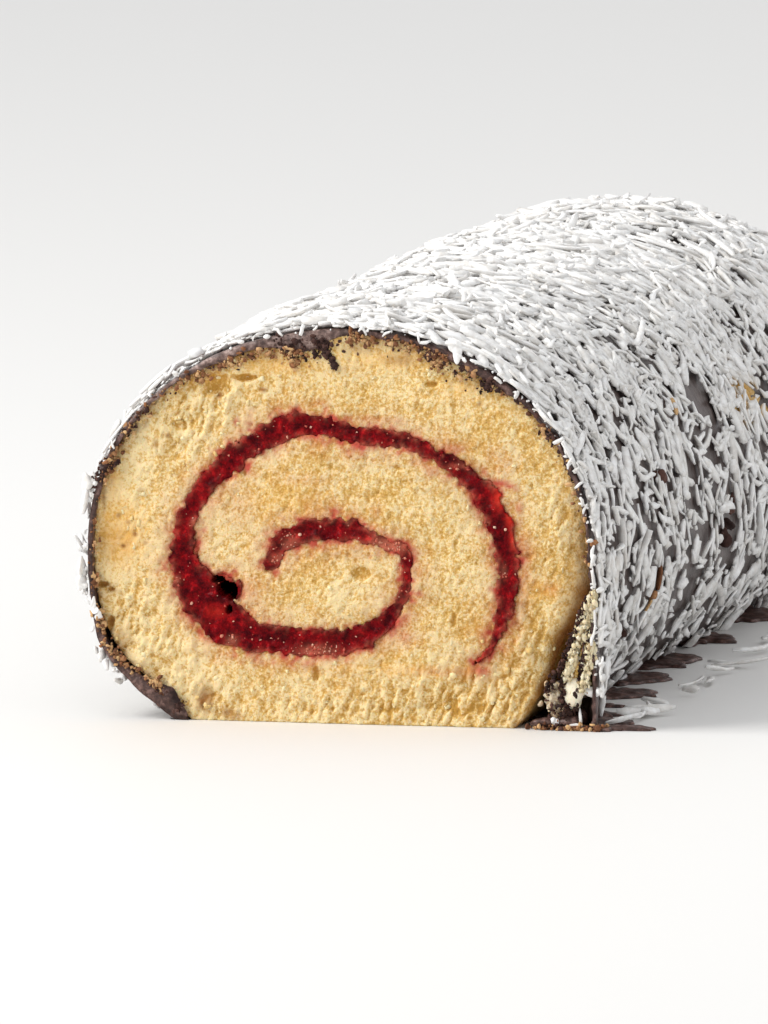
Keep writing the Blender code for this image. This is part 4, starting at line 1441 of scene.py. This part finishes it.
sizes = power_sizes(rng, FACE_COUNT, 0.15, 0.5)
add_piece(crumbs("sponge_crumbs", places, sizes, rng, 0.6), PALE_CRUMB)
# Crumbs on the jam: partly real crumbs, partly pale specks painted as glints.
places = face_places(rng, pale_on_jam, JAM_COUNT, 0.0)
sizes = power_sizes(rng, JAM_COUNT, 0.08, 0.25)
add_piece(crumbs("crumbs_and_glints_on_jam", places, sizes, rng, 0.5), JAM_CRUMB_AND_GLINT)

# %% [markdown]
# The knife dragged icing over the rim: a curl on the left, a drip that runs down the face from the
# top, and small lumps all round. A drip could be one smooth tube, but this one is broken, so it is
# made of lumps that lie closer to its line towards the tip.

# %% Lumps and a drip of chocolate along the rim
# Each line's places are x and height in millimetres.
CURL = ((-48.0, 44.8), (-47.4, 46.6), (-46.2, 48.0), (-44.6, 48.9), (-43.0, 49.2))
DRIP = ((-12.0, 73.6), (-8.5, 73.2), (-5.2, 73.4), (-3.8, 72.4), (-2.6, 71.0), (-1.7, 69.6), (-1.0, 68.4))
CHOCOLATE_SPANS = (  # as the crumbs' spans along the rim
    (88, 104, 3.0),
    (52, 68, 3.0),
    (68, 80, 1.0),
    (20, 52, 1.5),
    (104, 150, 2.0),
    (205, 231, 2.0),
)
DRIP_COUNT, CURL_COUNT, RIM_BIT_COUNT = 230, 90, 420


def drip_places(rng, count, line):
    """Places along a drip's line, nearer to it towards its tip."""
    line = smooth_path(line, 12) * MM
    step = rng.integers(0, len(line), count)
    share = step / len(line)
    spread = (0.7 * (1 - share) + 0.1)[:, None] * MM
    place = line[step] + rng.normal(0, 1, (count, 2)) * spread
    return np.stack([place[:, 0], rng.uniform(-0.1, 0.35, count) * MM, place[:, 1]], axis=1)


drips = [drip_places(rng, DRIP_COUNT, DRIP), drip_places(rng, CURL_COUNT, CURL)]
bit_places = np.concatenate([*drips, rim_places(rng, CHOCOLATE_SPANS, RIM_BIT_COUNT)])
bits = crumbs("chocolate_bits", bit_places, power_sizes(rng, len(bit_places), 0.15, 0.55), rng, 0.4)
add_piece(bits, CHOCOLATE_BIT)

# %% [markdown]
# Shreds and specks of coconut also cling to the rim at the cut. They lie in a plane just before the
# cut, so they use the same function as the coat's shreds, with a flat chart in place of the roll's.

# %% Coconut caught on the rim, and a few larger pieces on the left
LEFT_PIECES = (  # x, run, height and three half-sizes in millimetres
    (-49.6, 0.5, 45.4, 1.0, 1.0, 2.0),
    (-50.2, 0.5, 42.0, 0.9, 1.0, 1.5),
    (-51.0, 0.3, 29.0, 1.0, 1.0, 1.9),
    (-50.8, 0.3, 25.6, 1.0, 1.0, 1.8),
    (-48.4, -0.4, 21.9, 0.5, 0.3, 0.8),
    (-48.0, -0.4, 20.7, 0.7, 0.3, 0.9),
    (-47.4, -0.4, 19.6, 0.5, 0.3, 0.7),
    (22.5, -0.5, 72.8, 0.8, 0.4, 2.4),
)


def cut_chart(x, z):
    """Point and normal of a plane just before the cut."""
    point = np.stack([x, np.full(x.shape, -0.35 * MM), z], axis=-1)
    return point, np.broadcast_to((0.0, -1.0, 0.0), point.shape)


# Each span goes from one angle to another in degrees, and has so many pieces.
FRINGE_SPANS = ((-40, 20, 6), (20, 60, 8), (60, 88, 9), (88, 125, 6), (125, 200, 5))
UPRIGHT_SPANS = ((-18, 4, 7),)
SPECK_SPANS = ((-28, 20, 26), (20, 60, 20), (60, 125, 8), (125, 215, 34))
FRINGE = ((0.6, 2.4), (0.3, 0.9), (0.2, 0.4))  # millimetres: lengths, widths and thicknesses
UPRIGHT = ((1.5, 4), (0.35, 0.7), (0.2, 0.35))


def on_the_rim(rng, spans):
    """Places on the coat's rim, with so many for each span of angle."""
    angle = np.radians(np.concatenate([rng.uniform(low, high, count) for low, high, count in spans]))
    inwards = rng.uniform(-0.5, 0.25, len(angle)) * MM
    return surface(angle, np.zeros(len(angle)), inwards)[:, [0, 2]]


def add_lumps(rng, name, rows, material, roughness):
    """A piece of large lumps, each row its middle and its three half-sizes in millimetres."""
    rows = np.array(rows) * MM
    add_piece(crumbs(name, rows[:, :3], rows[:, 3:], rng, roughness, 4), material)


places = on_the_rim(rng, FRINGE_SPANS)
lay_coconut(rng, "rim_coconut", cut_chart, places, FRINGE, 4, 0.2)
places = on_the_rim(rng, UPRIGHT_SPANS)
lay_coconut(rng, "rim_shreds", cut_chart, places, UPRIGHT, 5, 0.2, (1.3, 1.8))
places = on_the_rim(rng, SPECK_SPANS)
places = np.stack([places[:, 0], rng.uniform(-0.2, 0.3, len(places)) * MM, places[:, 1]], axis=1)
sizes = power_sizes(rng, len(places), 0.1, 0.5)
add_piece(crumbs("rim_specks", places, sizes, rng, 0.7), COCONUT)
add_lumps(rng, "left_coconut", LEFT_PIECES, COCONUT, 0.42)

# %% [markdown]
# ## The torn strip
#
# At the lower right the coat came loose and tore a strip of sponge off with it, in three layers:
# sponge, smeared chocolate and sponge again. Each layer fills a share of the gap between the loose
# coat and the curve that the coat would follow if it clung, so the strip is as thick as the gap is
# wide.

# %% The torn strip at the lower right
TORN_LENGTH = 15 * MM
STRIP_LOW, STRIP_HIGH = 7 * MM, 25 * MM
STRIP_GAP = 0.3 * MM


def torn_layer(name, near, far, material, seed):
    """Closed loops up one side and down the other, between two shares of the gap behind the coat."""
    share = np.linspace(0, 1, 40)[:, None]
    rise = np.linspace(0, 1, 90)[None, :]
    low = STRIP_LOW + (STRIP_HIGH - STRIP_LOW) * 0.25 * share
    height = low + (STRIP_HIGH - low) * rise
    angle = np.arcsin((height - CORE_HEIGHT) / DROP_RIGHT)
    run = TORN_LENGTH * share + 0 * rise
    inner = surface(angle, run, SKIN + STRIP_GAP, False)
    outer = surface(angle, run, SKIN + STRIP_GAP, True)
    gap = outer[..., 0] - inner[..., 0]
    ends = np.clip(5 * rise, 0.1, 1) * np.clip(5 * (1 - rise), 0.1, 1)
    crag = rough_noise(height, run, 2.6 * MM, 4, seed)
    inward = np.clip(near + (far - near) * (1 + 0.7 * crag) * ends, near + 0.09, 0.95)
    sides = []
    for reach in (near + 0.03, inward):
        side = outer.copy()
        side[..., 0] -= gap * reach
        side[..., 2] = height
        sides.append(side)
    loops = np.concatenate([sides[0], sides[1][:, ::-1]], axis=1)
    front = rough_noise(loops[..., 2], loops[..., 0], 1.8 * MM, 3, seed + 4)
    loops[..., 1] += MM * (1.2 * front + 0.3) * (1 - share)
    around = loops.shape[1]
    mesh = new_mesh(
        name,
        loops.reshape(-1, 3) + OFFSET,
        loop_faces(len(share), around),
        rim_faces(around),
        rim_faces(around)[:, ::-1] + (len(share) - 1) * around,
    )
    hollow = 0.45 + 0.8 * rough_noise(loops[..., 2], loops[..., 1] + loops[..., 0], 1.2 * MM, 3, seed + 6)
    toast_and_shade = np.clip(0.1 + 1.1 * rough_noise(loops[..., 2], loops[..., 0], 2.2 * MM, 3, seed + 8), 0, 0.8)
    for attribute_name, value in (("hollow", hollow), ("toast_and_shade", toast_and_shade), ("stain", 0 * toast_and_shade)):
        give_attribute(mesh, attribute_name, value.ravel())
    weld(mesh, 0.0002 * MM)
    return add_piece(mesh, material)


torn_strip = torn_layer("torn_strip", 0.0, 0.26, SPONGE, 131)
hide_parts("torn_skin")
torn_layer("torn_chocolate", 0.27, 0.40, CHOCOLATE, 171)
torn_layer("torn_crumb", 0.42, 0.60, SPONGE, 191)

# %% [markdown]
# A torn edge is all crumbs. More noise on the strip would only make it wavy, so three pale lines of
# crumbs cover its edges, and dark lines of chocolate lie between.

# %% Crumbs that make the torn strip craggy
PALE_LINES = (  # two ends, each x and height, a spread and a count, in millimetres, of each line of crumbs
    (49.5, 26.0, 46.9, 17.4, 0.7, 380),
    (45.9, 15.6, 44.2, 9.6, 0.45, 170),
    (49.0, 16.6, 47.4, 7.8, 0.45, 230),
)
DARK_LINES = (  # the same for chocolate
    (48.4, 18.4, 46.4, 7.4, 0.25, 170),
    (48.3, 25.4, 45.0, 17.2, 0.3, 220),
    (45.2, 17.2, 42.4, 10.6, 0.3, 140),
    (42.0, 10.6, 40.2, 7.0, 0.4, 60),
    (43.6, 9.0, 43.9, 3.0, 0.5, 60),
)


def along_lines(rng, lines):
    """Places beside straight lines: a random share of the way, and a bell curve to the side."""
    ends = np.concatenate([np.tile(line[:5], (int(line[5]), 1)) for line in lines])
    share = rng.random(len(ends))
    side = rng.normal(0, 1, (2, len(ends))) * ends[:, 4]
    x = ends[:, 0] + share * (ends[:, 2] - ends[:, 0]) + side[0]
    z = ends[:, 1] + share * (ends[:, 3] - ends[:, 1]) + side[1]
    return np.stack([np.minimum(x, 49.6), rng.uniform(-0.5, 1.4, len(ends)), z], axis=1) * MM


strip_rng = np.random.default_rng(31)
pale_places, line_places = along_lines(strip_rng, PALE_LINES), along_lines(strip_rng, DARK_LINES)
sizes = power_sizes(strip_rng, len(pale_places), 0.2, 0.6)[:, None] * (0.8, 0.9, 1.3)
add_piece(crumbs("strip_crumbs", pale_places, sizes, strip_rng, 0.6), STRIP_CRUMB)
sizes = power_sizes(strip_rng, len(line_places), 0.15, 0.4)
add_piece(crumbs("strip_chocolate", line_places, sizes, strip_rng, 0.5), CHOCOLATE_BIT)

# %% [markdown]
# ## At the foot
#
# Wet icing ran out from under the roll into flat tongues and set there. A tongue is half of a very
# flat ball, whose outline wanders with noise. On the right, crumbs were caught below the torn strip:
# two large ones, one on the other, with dark lumps round them and small crumbs all over.

# %% Run-out tongues
TONGUES = (  # side, run, reach, half-length and height in millimetres
    (1, 3, 8, 3, 0.9),
    (1, 12, 9, 5, 0.9),
    (1, 24, 12, 6, 1.1),
    (1, 38, 10, 7, 0.8),
    (1, 56, 14, 8, 1.2),
    (1, 84, 10, 10, 0.9),
    (1, 112, 9, 12, 1.0),
    (1, 150, 9, 11, 0.9),
    (1, 192, 8, 13, 1.0),
    (1, 232, 8, 10, 0.9),
    (-1, 22, 5, 9, 1.0),
    (-1, 70, 6, 12, 0.9),
    (-1, 124, 5.5, 11, 1.0),
    (-1, 178, 6, 12, 0.9),
    (-1, 228, 5.5, 10, 1.0),
)


def build_tongues():
    """Flattened balls at the foot of the coat, whose outline and top wander with two waves of noise."""
    ball, faces = ball_template(5)
    side, run, reach, half_long, height = np.array(TONGUES).T[:, :, None] * np.ones((1, 1, len(ball)))
    foot = surface(np.where(side > 0, RIGHT_FOOT, LEFT_FOOT), run * MM)
    bearing = np.arctan2(ball[:, 1], ball[:, 0])
    wander = 1 + 0.35 * smooth_noise(run + 1.5 * np.cos(bearing), 1.5 * np.sin(bearing) + side, 141)
    wander += 0.25 * smooth_noise(run + 4 * np.cos(bearing), 4 * np.sin(bearing) + side, 142)
    x = foot[..., 0] + reach * ball[:, 0] * wander * MM
    y = (run + half_long * ball[:, 1] * wander) * MM
    ripple = 0.9 + 0.5 * rough_noise(x, y, 2.5 * MM, 3, 145)
    z = np.maximum(height * MM * np.clip(ball[:, 2], 0, None) ** 0.4 * ripple, 0.0)
    shifted = faces[None] + (np.arange(len(TONGUES)) * len(ball))[:, None, None]
    points = np.stack([x, y, z], axis=-1).reshape(-1, 3) + OFFSET
    mesh = new_mesh("chocolate_tongues", points, shifted.reshape(-1, 3))
    return add_piece(mesh, CHOCOLATE)


build_tongues()

# %% The large crumbs and lumps caught on the right
# Each row is x, run, height and three half-sizes in millimetres.
CAUGHT = (  # one crumb resting on another
    (41.7, 3.0, 6.0, 1.9, 2.0, 2.6),
    (42.6, 5.0, 2.0, 2.2, 2.2, 2.0),
)
WHITE_BITS = (  # pieces of coconut
    (48.9, 0.8, 7.4, 1.5, 0.8, 1.6),
    (41.8, 0.5, 1.6, 1.0, 0.9, 1.0),
    (46.8, 0.4, 2.0, 0.5, 0.5, 1.6),
    (45.6, 0.2, 0.9, 1.3, 0.6, 0.5),
)
CREAM_CHUNK = ((45.4, 0.8, 6.6, 1.7, 1.3, 2.6),)
DARK_CHUNKS = (  # icing
    (40.6, 1.6, 1.2, 2.6, 1.8, 1.1),
    (44.4, 1.4, 1.4, 2.4, 1.6, 1.3),
    (43.9, 1.6, 4.0, 0.8, 0.9, 2.0),
    (45.6, 4.2, 2.0, 2.2, 2.2, 1.8),
)
rng = np.random.default_rng(5)
add_lumps(rng, "caught_crumbs", CAUGHT, GREY_CRUMB, 0.12)
add_lumps(rng, "white_bits", WHITE_BITS, COCONUT, 0.22)
add_lumps(rng, "cream_chunk", CREAM_CHUNK, CREAM_CRUMB, 0.22)
add_lumps(rng, "dark_chunks", DARK_CHUNKS, CHOCOLATE, 0.22)

# %% Small crumbs and bits on and round them
def heap(rng, count, middle, spread):
    """A bell curve about a middle, folded up off the floor and kept from standing out before the cut."""
    places = (np.array(middle) + rng.normal(0, 1, (count, 3)) * np.array(spread)) * MM
    places[:, 1] = np.maximum(places[:, 1], -0.8 * MM)
    places[:, 2] = np.abs(places[:, 2])
    return places


def on_balls(rng, count, rows):
    """Places on the skin of large crumbs, most of them facing the cut."""
    balls = np.array(rows) * MM
    pick = rng.integers(0, len(balls), count)
    bearing = unit(rng.normal(size=(count, 3)) - (0, 0.8, 0))
    return balls[pick, :3] + bearing * balls[pick, 3:] * 0.95


# Each heap has a count, and its middle and spread in x, run and height in millimetres.
places = heap(rng, 170, (45.0, 0.2, 0.3), (3.4, 1.4, 0.5))
sizes = power_sizes(rng, len(places), 0.15, 0.6)
add_piece(crumbs("foot_crumbs", places, sizes, rng, 0.5), CRUST)
places = np.concatenate([on_balls(rng, 440, CAUGHT), heap(rng, 100, (42.0, 2.6, 5.0), (1.2, 1.2, 1.6))])
sizes = power_sizes(rng, len(places), 0.2, 0.6)
add_piece(crumbs("pale_foot_crumbs", places, sizes, rng, 0.5), GREY_CRUMB)
places = heap(rng, 130, (43.6, 1.2, 3.4), (1.6, 1.2, 2.6))
sizes = power_sizes(rng, len(places), 0.2, 0.6)
add_piece(crumbs("dark_foot_bits", places, sizes, rng, 0.5), CHOCOLATE_BIT)

# %% [markdown]
# A few long shreds fell off and lie flat on the icing that ran out. They use the same function as
# the coat's shreds once more, now with the floor as their chart.

# %% Shreds fallen at the foot
FALLEN_COUNT = 40
FALLEN_REACH = 8  # millimetres out from the foot


def floor_chart(x, run):
    """Point and normal of a plane just above the floor, where the icing ran out."""
    point = np.stack([x, run, np.full(x.shape, 0.4 * MM)], axis=-1)
    return point, np.broadcast_to((0.0, 0.0, 1.0), point.shape)


right_foot = surface(RIGHT_FOOT, 0.0)[0]
out = rng.uniform(0, FALLEN_REACH, FALLEN_COUNT) ** 0.9 * MM
fallen = np.stack([right_foot + out, rng.uniform(3, 250, FALLEN_COUNT) * MM], axis=1)
lay_coconut(rng, "foot_coconut", floor_chart, fallen, LONG_SHREDS, 6, 0.3)

# %% [markdown]
# ## The floor and the light
#
# The light is large and soft and stands above and to the left, and bright surroundings fill the
# shadows. So the top is brightest and the right side is in gentle shade. One square lamp and an even
# world give that, where a picture of a room would only add reflections that a dry cake doesn't show.

# %% Floor and studio light
def build_floor():
    """A pale plain square just under the cake, reaching far past it on every side."""
    reach, below = 3.0, 0.05 * MM
    corners = np.array(((-1, -1, 0), (1, -1, 0), (1, 1, 0), (-1, 1, 0))) * reach
    mesh = new_mesh("floor", corners - (0, 0, below), np.array([[0, 1, 2, 3]]))
    made, tree, shader = new_material("pale_floor", 0.6)
    shader.inputs["Base Color"].default_value = (0.78, 0.77, 0.75, 1.0)
    mesh.materials.append(made)
    floor = bpy.data.objects.new("floor", mesh)
    bpy.context.scene.collection.objects.link(floor)


def add_light(name, place, size, power, colour):
    """A soft square light that faces the middle of the roll's section."""
    data = bpy.data.lights.new(name, "AREA")
    data.size = size
    data.energy = power
    data.color = colour
    light = bpy.data.objects.new(name, data)
    light.location = place
    away = Vector(place) - Vector((0, 0, 0.04))
    light.rotation_euler = away.to_track_quat("Z", "Y").to_euler()
    bpy.context.scene.collection.objects.link(light)


build_floor()
add_light("window", (-1.15, -0.62, 1.1), 1.0, 25.0, (1.0, 0.99, 0.97))
world = bpy.data.worlds.new("studio")
world.use_nodes = True
background = world.node_tree.nodes["Background"]
background.inputs["Color"].default_value = (0.97, 0.98, 1.0, 1.0)
background.inputs["Strength"].default_value = 0.84
bpy.context.scene.world = world
bpy.context.scene.view_settings.view_transform = "Standard"
